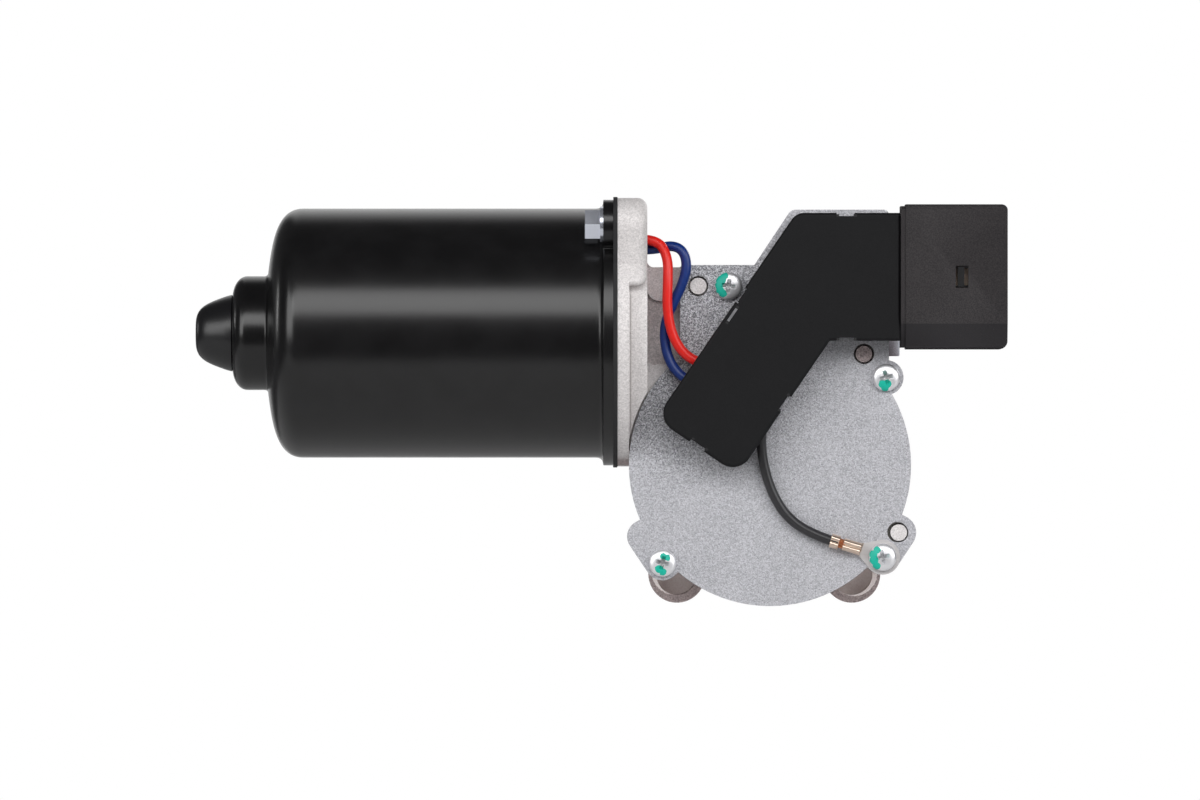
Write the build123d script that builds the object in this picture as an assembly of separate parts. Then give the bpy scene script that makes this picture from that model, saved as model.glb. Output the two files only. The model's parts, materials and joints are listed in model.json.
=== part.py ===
from build123d import *
import math
import os

# A wiper motor: a permanent magnet motor in a drawn steel can turns a worm, the worm turns a
# moulded wheel, and the wheel turns the output shaft that carries the wiper crank.
# Lengths are in millimetres. The origin lies on the output shaft's axis, in the plane of the
# three mounting pads. The shaft points along +Y, the motor lies along -X, and +Z is up.

# Gear pair: a single start worm on the armature shaft and a helical wheel.
MODULE = 1.0
WHEEL_TEETH = 66
WORM_PITCH_R = 4.0
WORM_TURNS = 8
PRESSURE_ANGLE = 20.0
ADDENDUM = 0.95
TIP_PLAY = 0.25
TOOTH_PLAY = 0.16
WHEEL_WIDTH = 12.0
WHEEL_RIM = 5.0
WHEEL_HUB_R = 10.0
WHEEL_FACE_PLATE = 3.0
WHEEL_WEB_RIBS = 8
WHEEL_RIB_THICKNESS = 2.0

WORM_PITCH = math.pi * MODULE
WORM_LENGTH = WORM_PITCH * WORM_TURNS
WORM_TIP_R = WORM_PITCH_R + ADDENDUM
WORM_ROOT_R = WORM_PITCH_R - MODULE - TIP_PLAY
WHEEL_PITCH_R = MODULE * WHEEL_TEETH / 2
WHEEL_TIP_R = WHEEL_PITCH_R + ADDENDUM
WHEEL_ROOT_R = WHEEL_PITCH_R - MODULE - TIP_PLAY
CENTRE_DISTANCE = WHEEL_PITCH_R + WORM_PITCH_R

# Fits. A seat gap lies between two fixed pieces, a running gap between pieces that turn.
SEAT_GAP = 0.03
RUNNING_GAP = 0.04
SLIDE_GAP = 0.1

# The armature axis is parallel to X. It lies this far in front of the mounting pads.
AXIS_DEPTH = 25.0
AXIS_Y = -AXIS_DEPTH
AXIS_Z = CENTRE_DISTANCE

# Gear case, a die casting that is open towards the cover plate.
RIM_AHEAD = 13.0
WHEEL_BACK_GAP = 1.5
WHEEL_SIDE_GAP = 1.25
CASE_FLOOR = 3.0
CASE_WALL = 3.5
BLOCK_LEFT = -25.2
BLOCK_RIGHT = 33.3
BLOCK_ABOVE = 19.0
HUB_R = 14.0
SPIGOT_R = 12.0
SPIGOT_LENGTH = 8.0
RIB_THICKNESS = 3.0
RIB_HEIGHT = 9.0
TUNNEL_GAP = 1.2

WHEEL_FRONT_Y = AXIS_Y - WHEEL_WIDTH / 2
WHEEL_BACK_Y = AXIS_Y + WHEEL_WIDTH / 2
RIM_Y = AXIS_Y - RIM_AHEAD
FLOOR_Y = WHEEL_BACK_Y + WHEEL_BACK_GAP
CASE_BACK_Y = FLOOR_Y + CASE_FLOOR
CAVITY_R = WHEEL_TIP_R + WHEEL_SIDE_GAP
CASE_R = CAVITY_R + CASE_WALL
BLOCK_TOP = AXIS_Z + BLOCK_ABOVE
TUNNEL_R = WORM_TIP_R + TUNNEL_GAP

# Cover plate and its gasket. The plate's upper lobe carries the connector.
PLATE_LIP = 0.8
PLATE_THICKNESS = 1.5
PLATE_GASKET = 0.6
LOBE_LEFT = 5.9
LOBE_ABOVE = 34.5
LOBE_SLOPE = 10.3
EAR_R = 4.9
LOWER_LEFT_EAR_R = 4.6
LOWER_LEFT_EAR_ANGLE = 29.5
EAR_BESIDE = 2.0

PLATE_R = CASE_R + PLATE_LIP
PLATE_BACK_Y = RIM_Y - PLATE_GASKET
PLATE_FRONT_Y = PLATE_BACK_Y - PLATE_THICKNESS
LOBE_TOP = AXIS_Z + LOBE_ABOVE
EAR_RING_R = CASE_R + EAR_BESIDE

# Cover screws and the casting's locating studs, which show through the plate.
COVER_SCREW_R = 2.0
COVER_SCREW_HEAD_R = 3.85
COVER_SCREW_HEAD = 2.5
COVER_SCREW_SLOPE = 1.0
COVER_SCREW_DEPTH = 9.0
COVER_SCREW_END_GAP = 1.5
RECESS_LENGTH = 3.4
RECESS_WIDTH = 0.9
RECESS_DEPTH = 1.2
STUD_R = 2.3
STUD_HOLE_GAP = 0.4
STUD_PROUD = 0.2
EDGE_INSET = 5.9
BLOCK_SCREW_FROM_LEFT = 13.6
BLOCK_STUD_FROM_LEFT = 5.1
RIGHT_SCREW_ANGLE = 37.0
RIGHT_STUD_ANGLE = 49.8
LOWER_LEFT_SCREW_ANGLE = 222.3
LOWER_RIGHT_SCREW_ANGLE = -39.4
LOWER_STUD_ANGLE = 27.7

# Mounting lugs on a circle whose middle lies a little to the left of the output shaft, tapped M6
# from the pad side.
LUG_CIRCLE_R = 39.4
LUG_ANGLES = (90.0, 231.4, 308.6)
LUG_SHIFT = -1.4
LUG_R = 8.0
LUG_LENGTH = 24.0
LUG_CUP_R = 5.8
LUG_CUP_DEPTH = 5.0
LUG_HOLE_R = 2.5
LUG_HOLE_DEPTH = 12.0

# Motor can, a drawn steel cup with a bearing boss at its closed end.
FLANGE_THICKNESS = 3.2
CAN_GASKET = 1.2
CAN_R = 35.0
CAN_WALL = 1.6
CAN_LENGTH = 97.0
CAN_CORNER = 6.7
CAN_DOME = 3.7
CAN_RIM_BESIDE = 2.2
CAN_RIM = 2.8
CAN_RIM_ROOT = 1.6
BOSS_R = 16.0
BOSS_LENGTH = 10.0
BOSS_CORNER = 4.3
BOSS_INNER_CORNER = 1.2
NOSE_R = 10.8
NOSE_LENGTH = 10.3
NOSE_CYLINDER = 0.6
NOSE_TIP_R = 5.5
NOSE_TIP_CORNER = 1.2
NOSE_STEM_R = 8.0
NOSE_STEM = 0.5

MOTOR_X = -PLATE_R - FLANGE_THICKNESS
CAN_FACE_X = MOTOR_X - CAN_GASKET
CAN_END_X = CAN_FACE_X - CAN_LENGTH
BOSS_END_X = CAN_END_X - BOSS_LENGTH
CAN_BORE_R = CAN_R - CAN_WALL
CAN_RIM_R = CAN_R + CAN_RIM_BESIDE

# Housing flange that the can is screwed to, with one ear in front and one behind. Its upper part is
# a thick boss, and a smaller band of the same depth stands below that.
TOP_BOSS = 8.3
TOP_BOSS_ABOVE = 13.1
TOP_BOSS_EDGE = 2.8
TOP_BOSS_CORNER = 1.2
BAND_INSIDE_CAN = 2.0
BAND_TO_PLATE = 0.5
CAN_SCREW_BESIDE = 5.4
CAN_SCREW_ANGLE = 131.6
CAN_SCREW_R = 2.5
CAN_SCREW_EAR_R = 7.4
CAN_SCREW_HEAD_R = 4.6
CAN_SCREW_HEAD = 5.1
CAN_SCREW_WASHER = 0.9
CAN_SCREW_WASHER_R = 5.0
CAN_SCREW_SPOT_GAP = 0.2
CAN_SCREW_HOLE_GAP = 0.3
EAR_FOOT_SHARE = 0.55
EAR_FOOT_R = 16.3

CAN_SCREW_RING_R = CAN_R + CAN_SCREW_BESIDE
BAND_R = CAN_R - BAND_INSIDE_CAN

# Bearing neck between the flange and the case: a ledge of the case's rim above, a recess beside
# the axis, and a rounded corner of the rim below.
NECK_HALF_HEIGHT = 18.4
NECK_ROOT = 1.8
NECK_FRONT_INSET = 1.5
NECK_BORE_R = 9.0
LEDGE_ABOVE = 9.0
LEDGE_CORNER = 3.5
RIM_CORNER_BELOW = 8.8
RIM_CORNER = 3.4

# Armature shaft and bearings.
SHAFT_R = 5.0
REAR_JOURNAL_R = 4.0
TIP_JOURNAL_R = 2.6
REAR_BUSH_LENGTH = 9.0
REAR_BUSH_R = 7.5
REAR_BUSH_SLOPE = 2.0
REAR_BUSH_FROM_WALL = 1.5
RETAINER_WALL = 1.0
RETAINER_SLOPE = 2.4
TIP_BUSH_LENGTH = 8.0
TIP_BUSH_R = 5.2
TIP_BUSH_FROM_WORM = 2.5
TIP_BUSH_GAP = 0.5
SHAFT_RELIEF = 0.6
SHAFT_END_GAP = 1.0
BALL_BEARING_R = 13.0
BALL_BEARING_WIDTH = 7.0
BEARING_RING = 2.2
BEARING_SHIELD = 0.5
BEARING_SHOULDER = 3.0
BEARING_CLIP = 1.0
BEARING_CLIP_LIP = 1.5
THRUST_SCREW_R = 4.0
THRUST_GAP = 0.1
THRUST_SCREW_CHAMFER = 1.2
THRUST_SCREW_SLOT = 1.2
THRUST_SCREW_PROUD = 1.0
LOCK_NUT_ACROSS = 13.0
LOCK_NUT = 4.0

TIP_BUSH_X = WORM_LENGTH / 2 + TIP_BUSH_FROM_WORM
SHAFT_TIP_X = TIP_BUSH_X + TIP_BUSH_LENGTH + TIP_BUSH_GAP
BEARING_FRONT_X = MOTOR_X + BEARING_CLIP + BALL_BEARING_WIDTH
CASE_RIGHT_X = BLOCK_RIGHT - PLATE_LIP

# Magnets, armature core and winding.
MAGNET_THICKNESS = 8.0
MAGNET_OVERHANG = 3.0
MAGNET_ARC = 130.0
MAGNET_CLIP = 1.2
MAGNET_CLIP_INSET = 4.0
MAGNET_CLIP_GAP_ANGLE = 1.5
AIR_GAP = 0.7
CORE_FROM_FACE = 34.0
SLOTS = 12
SLOT_MOUTH = 2.2
SLOT_LIP = 1.6
SLOT_THROAT = 0.8
SLOT_SHOULDER = 0.6
SLOT_BOTTOM_R = 11.5
SLOT_FOOT_SHARE = 0.2
TOOTH_WIDTH = 4.6
SLOT_LINER = 0.35
END_TURN = 9.0
END_TURN_GAP = 2.4
END_TURN_INSIDE = 2.0
END_TURN_R = 21.5
END_TURN_SLOPE = 5.5
END_TURN_THROAT = 3.5

CORE_R = CAN_BORE_R - SEAT_GAP - MAGNET_THICKNESS - AIR_GAP
CORE_FRONT_X = CAN_FACE_X - CORE_FROM_FACE
CORE_BACK_X = CAN_END_X + CAN_WALL + END_TURN_GAP + END_TURN

# Commutator and brush gear.
COMMUTATOR_R = 12.0
COMMUTATOR_LENGTH = 16.0
COMMUTATOR_FROM_FACE = 7.0
BAR_DEPTH = 3.2
BAR_SPACE = 0.7
BAR_HOOK = 1.6
BAR_HOOK_LENGTH = 2.0
HUB_PROUD = 1.0
BRUSH_PLATE = 2.4
BRUSH_PLATE_BORE_R = 15.0
BRUSH_PLATE_FROM_FACE = 2.0
BRUSH_SIZE = 6.0
BRUSH_LENGTH = 10.0
BRUSH_HOLLOW = 0.3
BRUSH_ANGLES = (90.0, 270.0, 330.0)
BRUSH_NAMES = ("low_speed_brush", "common_brush", "high_speed_brush")
HOLDER_WALL = 0.6
HOLDER_LENGTH = 16.0
HOLDER_FOOT = 2.0
HOLDER_GAP = 1.5
SPRING_STRIP = 0.4
SPRING_WIDTH = 4.0
SPRING_FOLDS = 4
CHOKE_ANGLES = (30.0, 210.0)
CHOKE_RING_R = 25.0
CHOKE_R = 3.0
CHOKE_LENGTH = 12.0

COMMUTATOR_FRONT_X = CAN_FACE_X - COMMUTATOR_FROM_FACE
COMMUTATOR_BACK_X = COMMUTATOR_FRONT_X - COMMUTATOR_LENGTH
BRUSH_PLATE_BACK_X = CAN_FACE_X - BRUSH_PLATE_FROM_FACE - BRUSH_PLATE
BRUSH_X = BRUSH_PLATE_BACK_X - HOLDER_FOOT - HOLDER_WALL - SLIDE_GAP - BRUSH_SIZE / 2
BRUSH_INNER_R = COMMUTATOR_R + RUNNING_GAP
HOLDER_INNER_R = COMMUTATOR_R + HOLDER_GAP
HOLDER_OUTER_R = HOLDER_INNER_R + HOLDER_LENGTH

# Output shaft: a knurled root in the wheel, two bushes, a serrated taper and an M8 thread.
OUTPUT_R = 5.0
OUTPUT_THREAD_R = 4.0
OUTPUT_THREAD = 12.0
OUTPUT_TAPER = 10.0
OUTPUT_FRONT_GAP = 1.2
OUTPUT_BUSH_R = 7.5
OUTPUT_BUSH_LENGTH = 9.0
SHAFT_SEAL = 2.5
SHIM_R = 8.5
SHIM = 1.0
CLIP_R = 8.0
CLIP = 1.0
GROOVE_DEPTH = 0.8
GROOVE_WIDTH = 1.2
GROOVE_TO_TAPER = 1.5
OUTPUT_CHAMFER = 0.5
THREAD_CHAMFER = 0.8
SEAL_INSET = 0.4
BUSH_RELIEF = 1.0

# Park switch: a ring on the wheel, three fingers on a carrier behind the plate.
CONTACT_RING = 0.5
CONTACT_INNER_R = 12.5
CONTACT_OUTER_R = 27.5
CONTACT_FROM_END = 12.5
CONTACT_CARRIER = (12.0, 17.0)
CONTACT_CARRIER_THICKNESS = 2.6
FINGER_PITCH = 5.0
FINGER_WIDTH = 3.0
FINGER_THICKNESS = 0.4
FINGER_REACH = 13.5
FINGER_TOE = 1.0
FINGER_GAP = 0.3
PARK_ANGLES = (30, 62)
RIVET_R = 1.2
RIVET_HOLE_R = 2.0
RIVET_HEAD = 0.5
RIVET_HEAD_R = 2.0
RIVET_TAIL_R = 1.7

# Dog-leg terminal cover: an upright arm slanting down from a level arm.
COVER_DEPTH = 12.0
COVER_WALL = 1.5
COVER_ARM_WIDTH = 27.9
COVER_LEVEL_HEIGHT = 35.7
COVER_ARM_ANGLE = 55.6
COVER_LEVEL_MIDDLE = 15.6
COVER_BEND_X = 11.9
COVER_ARM_LENGTH = 57.5
COVER_RIGHT_X = 36.3
COVER_CORNER = 5.6
COVER_TOP_CORNER = 4.0
COVER_EDGE = 0.6
COVER_NOTCH = 5.0
COVER_NOTCH_DEPTH = 0.9
LEVEL_NOTCH_FROM_BEND = 9.1
LEFT_NOTCH_DOWN_ARM = 15.5
RIGHT_NOTCH_FROM_END = 23.9
TRAY_THICKNESS = 2.0
TRAY_GAP = 0.4
BUS_THICKNESS = 0.8
BUS_WIDTH = 2.6

COVER_FRONT_Y = PLATE_FRONT_Y - COVER_DEPTH
TRAY_Y = PLATE_FRONT_Y - TRAY_THICKNESS
COVER_LEVEL_Z = AXIS_Z + COVER_LEVEL_MIDDLE
CONTACT_DOWN_ARM = COVER_ARM_LENGTH - CONTACT_FROM_END

# Connector hood with five blades, facing +X.
HOOD_LENGTH = 28.4
HOOD_HEIGHT = 40.5
HOOD_DEPTH = 20.0
HOOD_FRONT_PROUD = 1.2
HOOD_WALL = 2.0
HOOD_SOCKET = 20.0
HOOD_CORNER = 1.4
HOOD_BEVEL_HEIGHT = 7.8
HOOD_BEVEL_DEPTH = 3.5
HOOD_COLLAR = 1.4
HOOD_COLLAR_INSET = 0.5
TONGUE_LENGTH = 12.0
TONGUE_HEIGHT = 30.0
TONGUE_DEPTH = 9.0
BLADES = 5
BLADE_PITCH = 6.0
BLADE_WIDTH = 4.8
BLADE_THICKNESS = 0.8
BLADE_REACH = 14.0
BLADE_FROM_FRONT = 7.0
BLADE_TIP = 1.1
LATCH_WINDOW = 3.5
LATCH_WINDOW_HEIGHT = 6.2
LATCH_FROM_MOUTH = 14.5
COVER_TO_COLLAR = 0.1

HOOD_X = COVER_RIGHT_X + COVER_TO_COLLAR + HOOD_COLLAR
HOOD_MOUTH_X = HOOD_X + HOOD_LENGTH
SOCKET_X = HOOD_MOUTH_X - HOOD_SOCKET
HOOD_FRONT_Y = COVER_FRONT_Y - HOOD_FRONT_PROUD
HOOD_BACK_Y = HOOD_FRONT_Y + HOOD_DEPTH
BLADE_Y = HOOD_FRONT_Y + BLADE_FROM_FRONT
TONGUE_X = HOOD_X - HOOD_COLLAR - TONGUE_LENGTH

# Leads. The points of each route are chosen by hand to follow the real lead.
LEAD_R = 1.4
LEAD_HOLE_GAP = 0.03
LEAD_MOUTH_GAP = 0.5
LEAD_SIDES = 8
ARC_SHARE = 0.45
GROMMET_R = 3.4
GROMMET_LENGTH = 4.0
RED_ROUTE = (
    (-45.6, -41.7, 62.5),
    (-40.6, -42.4, 63.1),
    (-31.4, -42.4, 63.1),
    (-28.6, -44.2, 58.2),
    (-28.6, -45.7, 51.4),
    (-28.9, -45.6, 44.0),
    (-27.6, -45.2, 36.6),
    (-24.4, -44.9, 31.2),
    (-19.6, -44.8, 28.4),
    (-15.0, -44.8, 27.6),
)
BLUE_ROUTE = (
    (-45.6, -39.3, 59.7),
    (-40.6, -39.6, 60.3),
    (-32.3, -39.6, 60.3),
    (-27.6, -41.0, 61.6),
    (-24.2, -42.0, 60.0),
    (-23.2, -42.3, 55.8),
    (-24.4, -42.2, 50.9),
    (-27.0, -42.0, 45.6),
    (-29.3, -41.9, 40.2),
    (-29.6, -42.1, 34.4),
    (-28.0, -42.8, 28.4),
    (-24.0, -44.0, 23.9),
    (-19.0, -44.5, 21.8),
)
GROUND_ROUTE = (
    (1.0, -44.8, 20.0),
    (-2.3, -44.2, 12.3),
    (-2.6, -42.7, 3.6),
    (-0.1, -41.8, -6.7),
    (4.8, -41.7, -14.9),
    (12.6, -41.9, -19.8),
    (19.0, -42.2, -21.7),
)
CRIMP_LENGTH = 8.5
CRIMP_R = 1.9
CRIMP_GRIP = 3.0
RING_TERMINAL_R = 4.9
RING_TERMINAL = 0.8
RING_HOLE_GAP = 0.1
TONGUE_NECK_R = 1.6


def outline(*corners):
    """A flat face with a corner at each (x, y), rounded where a third number gives a radius."""
    face = make_face(Polyline(*[corner[:2] for corner in corners], close=True))
    for x, y, radius in [corner for corner in corners if len(corner) == 3]:
        face = fillet(face.vertices().sort_by_distance((x, y))[0], radius)
    return face


def polar(radius, degrees):
    """The two coordinates of a point on a circle."""
    angle = math.radians(degrees)
    return radius * math.cos(angle), radius * math.sin(angle)


def turned_on_motor(*corners):
    """A piece turned about the armature axis, from corners given as (x, radius)."""
    return Pos(0, AXIS_Y, AXIS_Z) * revolve(outline(*corners), Axis.X)


def turned_on_output(*corners):
    """A piece turned about the output axis, from corners given as (radius, y)."""
    return revolve(outline(*corners), Axis.Y)


def across(face, y_from, y_to):
    """A prism along Y of a face drawn in (x, z), with y_from below y_to."""
    return extrude(Plane.XZ.offset(-y_to) * face, y_to - y_from)


def along(face, x_from, x_to):
    """A prism along X of a face drawn in (y, z) about the armature axis."""
    return Pos(0, AXIS_Y, AXIS_Z) * extrude(Plane.YZ.offset(x_from) * face, x_to - x_from)


def disc(radius, centre=(0, 0)):
    """A round face."""
    return Pos(*centre) * Circle(radius)


def bridge(*discs):
    """The face that a band round several (radius, centre) discs encloses."""
    return make_hull([edge for radius, centre in discs for edge in disc(radius, centre).edges()])


def box_between(low, high):
    """A block from its lowest to its highest corner."""
    size = [b - a for a, b in zip(low, high)]
    return Pos(*low) * Box(*size, align=(Align.MIN, Align.MIN, Align.MIN))


def cover_screw_places():
    """Where the four cover screws stand, as (x, z)."""
    return [
        (BLOCK_LEFT + BLOCK_SCREW_FROM_LEFT, BLOCK_TOP - EDGE_INSET),
        polar(EAR_RING_R, RIGHT_SCREW_ANGLE),
        polar(EAR_RING_R, LOWER_LEFT_SCREW_ANGLE),
        polar(EAR_RING_R, LOWER_RIGHT_SCREW_ANGLE),
    ]


def stud_places():
    """Where the casting's studs pass through the plate, as (x, z)."""
    return [
        (BLOCK_LEFT + BLOCK_STUD_FROM_LEFT, BLOCK_TOP - EDGE_INSET),
        polar(EAR_RING_R, RIGHT_STUD_ANGLE),
        polar(EAR_RING_R, -LOWER_STUD_ANGLE),
    ]


def can_screw_places():
    """The two can screws, as (y, z) about the armature axis."""
    return [polar(CAN_SCREW_RING_R, CAN_SCREW_ANGLE + turn) for turn in (0, 180)]


def lug_places():
    """The three mounting lugs, as (x, z)."""
    return [(LUG_SHIFT + x, z) for x, z in [polar(LUG_CIRCLE_R, angle) for angle in LUG_ANGLES]]


def on_arm(distance, side):
    """A point of the cover's slanted arm: so far down from its bend, and so far to its right."""
    angle = math.radians(COVER_ARM_ANGLE)
    x = COVER_BEND_X - distance * math.cos(angle) + side * math.sin(angle)
    z = COVER_LEVEL_Z - distance * math.sin(angle) - side * math.cos(angle)
    return x, z


def rivet_sides():
    """How far each of the three rivets stands from the middle of the slanted arm."""
    return [step * FINGER_PITCH for step in (-1, 0, 1)]


def rivet_places():
    """The three rivets of the contact fingers, as (x, z)."""
    return [on_arm(CONTACT_DOWN_ARM, side) for side in rivet_sides()]


def case_face():
    """The outline that the case and the lower part of the plate share."""
    lower_left = polar(EAR_RING_R, 180 + LOWER_LEFT_EAR_ANGLE)
    lower_right = polar(EAR_RING_R, -LOWER_STUD_ANGLE)
    screws = cover_screw_places()
    face = disc(PLATE_R)
    face += outline(
        (BLOCK_LEFT, 0), (BLOCK_LEFT, BLOCK_TOP, 1.0), (BLOCK_RIGHT, BLOCK_TOP, 1.0), (BLOCK_RIGHT, 0)
    )
    face += bridge((EAR_R, screws[1]), (EAR_R, polar(PLATE_R - EAR_R, RIGHT_SCREW_ANGLE + 6)))
    face += bridge((EAR_R, screws[2]), (LOWER_LEFT_EAR_R, lower_left), (EAR_R, (0, 0)))
    face += bridge((EAR_R, screws[3]), (EAR_R, lower_right), (EAR_R, (0, 0)))
    return face


def plate_face():
    """The cover plate's outline, with the lobe that carries the connector."""
    lobe = outline(
        (LOBE_LEFT - LOBE_SLOPE, BLOCK_TOP - 1.5),
        (LOBE_LEFT - LOBE_SLOPE, BLOCK_TOP),
        (LOBE_LEFT, LOBE_TOP, 2.5),
        (BLOCK_RIGHT, LOBE_TOP, 1.5),
        (BLOCK_RIGHT, BLOCK_TOP - 1.5),
    )
    return case_face() + lobe


def tooth_gap():
    """The section of one gap between teeth, drawn with the gap's middle on +Y."""
    base_r = WHEEL_PITCH_R * math.cos(math.radians(PRESSURE_ANGLE))
    pitch_half = (WORM_PITCH + TOOTH_PLAY) / 2 / (2 * WHEEL_PITCH_R)

    def lean(radius):
        at = math.acos(base_r / radius)
        return math.tan(at) - at

    right = []
    for radius in (WHEEL_ROOT_R, WHEEL_PITCH_R, WHEEL_TIP_R, WHEEL_TIP_R + 0.5):
        half = pitch_half - lean(WHEEL_PITCH_R) + lean(radius)
        right.append((radius * math.sin(half), radius * math.cos(half)))
    left = [(-x, y) for x, y in reversed(right)]
    return outline(*right, *left)


def worm_wheel():
    """Moulded wheel: helical teeth, a face plate in front and ribs behind."""
    lead_angle = math.degrees(math.atan(MODULE / (2 * WORM_PITCH_R)))
    rim_r = WHEEL_ROOT_R - WHEEL_RIM
    hollow = disc(rim_r) - disc(WHEEL_HUB_R)
    for rib in range(WHEEL_WEB_RIBS):
        angle = rib * 360 / WHEEL_WEB_RIBS
        hollow -= Rot(0, 0, angle) * Pos(rim_r / 2, 0) * Rectangle(rim_r + 2, WHEEL_RIB_THICKNESS)
    wheel = across(disc(WHEEL_TIP_R) - disc(OUTPUT_R + SEAT_GAP), WHEEL_FRONT_Y, WHEEL_BACK_Y)
    wheel -= across(hollow, WHEEL_FRONT_Y + WHEEL_FACE_PLATE, WHEEL_BACK_Y)
    gap = across(tooth_gap(), -WHEEL_WIDTH, WHEEL_WIDTH)
    gap = Pos(0, AXIS_Y, 0) * Rot(0, 0, -lead_angle) * gap
    return wheel - [Rot(0, count * 360 / WHEEL_TEETH, 0) * gap for count in range(WHEEL_TEETH)]


def worm_thread():
    """The worm's single thread, centred on the output axis and facing the wheel."""
    flank = math.tan(math.radians(PRESSURE_ANGLE))
    pitch_half = (WORM_PITCH - TOOTH_PLAY) / 4
    inner_r = WORM_ROOT_R - 0.3
    inner_half = pitch_half + (WORM_PITCH_R - inner_r) * flank
    tip_half = pitch_half - (WORM_TIP_R - WORM_PITCH_R) * flank
    section = outline(
        (inner_r, -inner_half), (WORM_TIP_R, -tip_half), (WORM_TIP_R, tip_half), (inner_r, inner_half)
    )
    path = Helix(pitch=WORM_PITCH, height=WORM_LENGTH, radius=WORM_PITCH_R)
    thread = Pos(0, 0, -WORM_LENGTH / 2) * sweep(Plane.XZ * section, path=path, is_frenet=True)
    return Rot(0, 90, 0) * Rot(0, 0, -180 * WORM_TURNS) * thread


def armature_shaft():
    """Ground shaft with the worm at its front end."""
    worm_back = -WORM_LENGTH / 2 - WORM_PITCH
    worm_front = WORM_LENGTH / 2 + WORM_PITCH / 2
    rear_end = BOSS_END_X + CAN_WALL + SHAFT_END_GAP
    rear_step = rear_end + REAR_BUSH_LENGTH + 2 * SHAFT_END_GAP
    shaft = turned_on_motor(
        (rear_end, 0),
        (rear_end, REAR_JOURNAL_R),
        (rear_step, REAR_JOURNAL_R),
        (rear_step, SHAFT_R),
        (BEARING_FRONT_X, SHAFT_R),
        (BEARING_FRONT_X + SHAFT_RELIEF, SHAFT_R - SHAFT_RELIEF),
        (worm_back - 2 * SHAFT_RELIEF, SHAFT_R - SHAFT_RELIEF),
        (worm_back, WORM_ROOT_R),
        (worm_front, WORM_ROOT_R),
        (worm_front, TIP_JOURNAL_R),
        (SHAFT_TIP_X - SHAFT_RELIEF, TIP_JOURNAL_R),
        (SHAFT_TIP_X, TIP_JOURNAL_R - SHAFT_RELIEF),
        (SHAFT_TIP_X, 0),
    )
    return shaft + Pos(0, AXIS_Y, AXIS_Z) * worm_thread()


def slot_corners(gap):
    """Half widths and radii of one slot of the armature core, smaller all round by the gap."""
    lip_r = CORE_R - SLOT_LIP - gap
    pitch = math.pi / SLOTS
    wide = lip_r * math.sin(pitch) - TOOTH_WIDTH / 2 - gap
    bottom_r = SLOT_BOTTOM_R + gap
    narrow = bottom_r * math.tan(pitch) - TOOTH_WIDTH * SLOT_FOOT_SHARE - gap
    return wide, narrow, lip_r, bottom_r


def armature_core():
    """Stack of laminations with open slots for the winding."""
    mouth = SLOT_MOUTH / 2
    wide, narrow, lip_r, bottom_r = slot_corners(0)
    slot = outline(
        (-mouth, CORE_R + 1),
        (-mouth, CORE_R - SLOT_THROAT),
        (-wide, lip_r - SLOT_SHOULDER),
        (-narrow, bottom_r),
        (narrow, bottom_r),
        (wide, lip_r - SLOT_SHOULDER),
        (mouth, CORE_R - SLOT_THROAT),
        (mouth, CORE_R + 1),
    )
    face = disc(CORE_R) - disc(SHAFT_R + SEAT_GAP)
    for count in range(SLOTS):
        face -= Rot(0, 0, count * 360 / SLOTS) * slot
    return along(face, CORE_BACK_X, CORE_FRONT_X)


def armature_windings():
    """Copper in the slots, joined by the end turns at both ends of the core."""
    wide, narrow, lip_r, bottom_r = slot_corners(SLOT_LINER)
    shoulder_r = lip_r - SLOT_SHOULDER
    bar = outline((-wide, shoulder_r), (-narrow, bottom_r), (narrow, bottom_r), (wide, shoulder_r))
    bars = [Rot(0, 0, count * 360 / SLOTS) * bar for count in range(SLOTS)]
    copper = along(Sketch() + bars, CORE_BACK_X, CORE_FRONT_X)
    inside = SHAFT_R + END_TURN_INSIDE
    for end_x, out in ((CORE_FRONT_X, END_TURN), (CORE_BACK_X, -END_TURN)):
        copper += turned_on_motor(
            (end_x, inside),
            (end_x + out * 0.7, inside),
            (end_x + out, inside + END_TURN_THROAT),
            (end_x + out, END_TURN_R - END_TURN_SLOPE),
            (end_x + out * 0.6, END_TURN_R),
            (end_x, END_TURN_R),
        )
    return copper


def commutator_bars():
    """Copper bars with hooks towards the winding, each a separate solid."""
    hook_r = COMMUTATOR_R + BAR_HOOK
    inner_r = COMMUTATOR_R - BAR_DEPTH
    ring = turned_on_motor(
        (COMMUTATOR_BACK_X, inner_r),
        (COMMUTATOR_BACK_X, hook_r),
        (COMMUTATOR_BACK_X + BAR_HOOK_LENGTH, hook_r),
        (COMMUTATOR_BACK_X + BAR_HOOK_LENGTH, COMMUTATOR_R),
        (COMMUTATOR_FRONT_X, COMMUTATOR_R),
        (COMMUTATOR_FRONT_X, inner_r),
    )
    for count in range(SLOTS):
        space = Rot(0, 0, (count + 0.5) * 360 / SLOTS) * Pos(hook_r / 2, 0)
        cut = space * Rectangle(hook_r + 2, BAR_SPACE)
        ring -= along(cut, COMMUTATOR_BACK_X - 1, COMMUTATOR_FRONT_X + 1)
    return ring


def commutator_hub():
    """Moulded hub that holds the bars on the shaft."""
    outer_r = COMMUTATOR_R - BAR_DEPTH - SEAT_GAP
    return turned_on_motor(
        (COMMUTATOR_BACK_X - HUB_PROUD, SHAFT_R + SEAT_GAP),
        (COMMUTATOR_BACK_X - HUB_PROUD, outer_r),
        (COMMUTATOR_FRONT_X + HUB_PROUD, outer_r),
        (COMMUTATOR_FRONT_X + HUB_PROUD, SHAFT_R + SEAT_GAP),
    )


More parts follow.
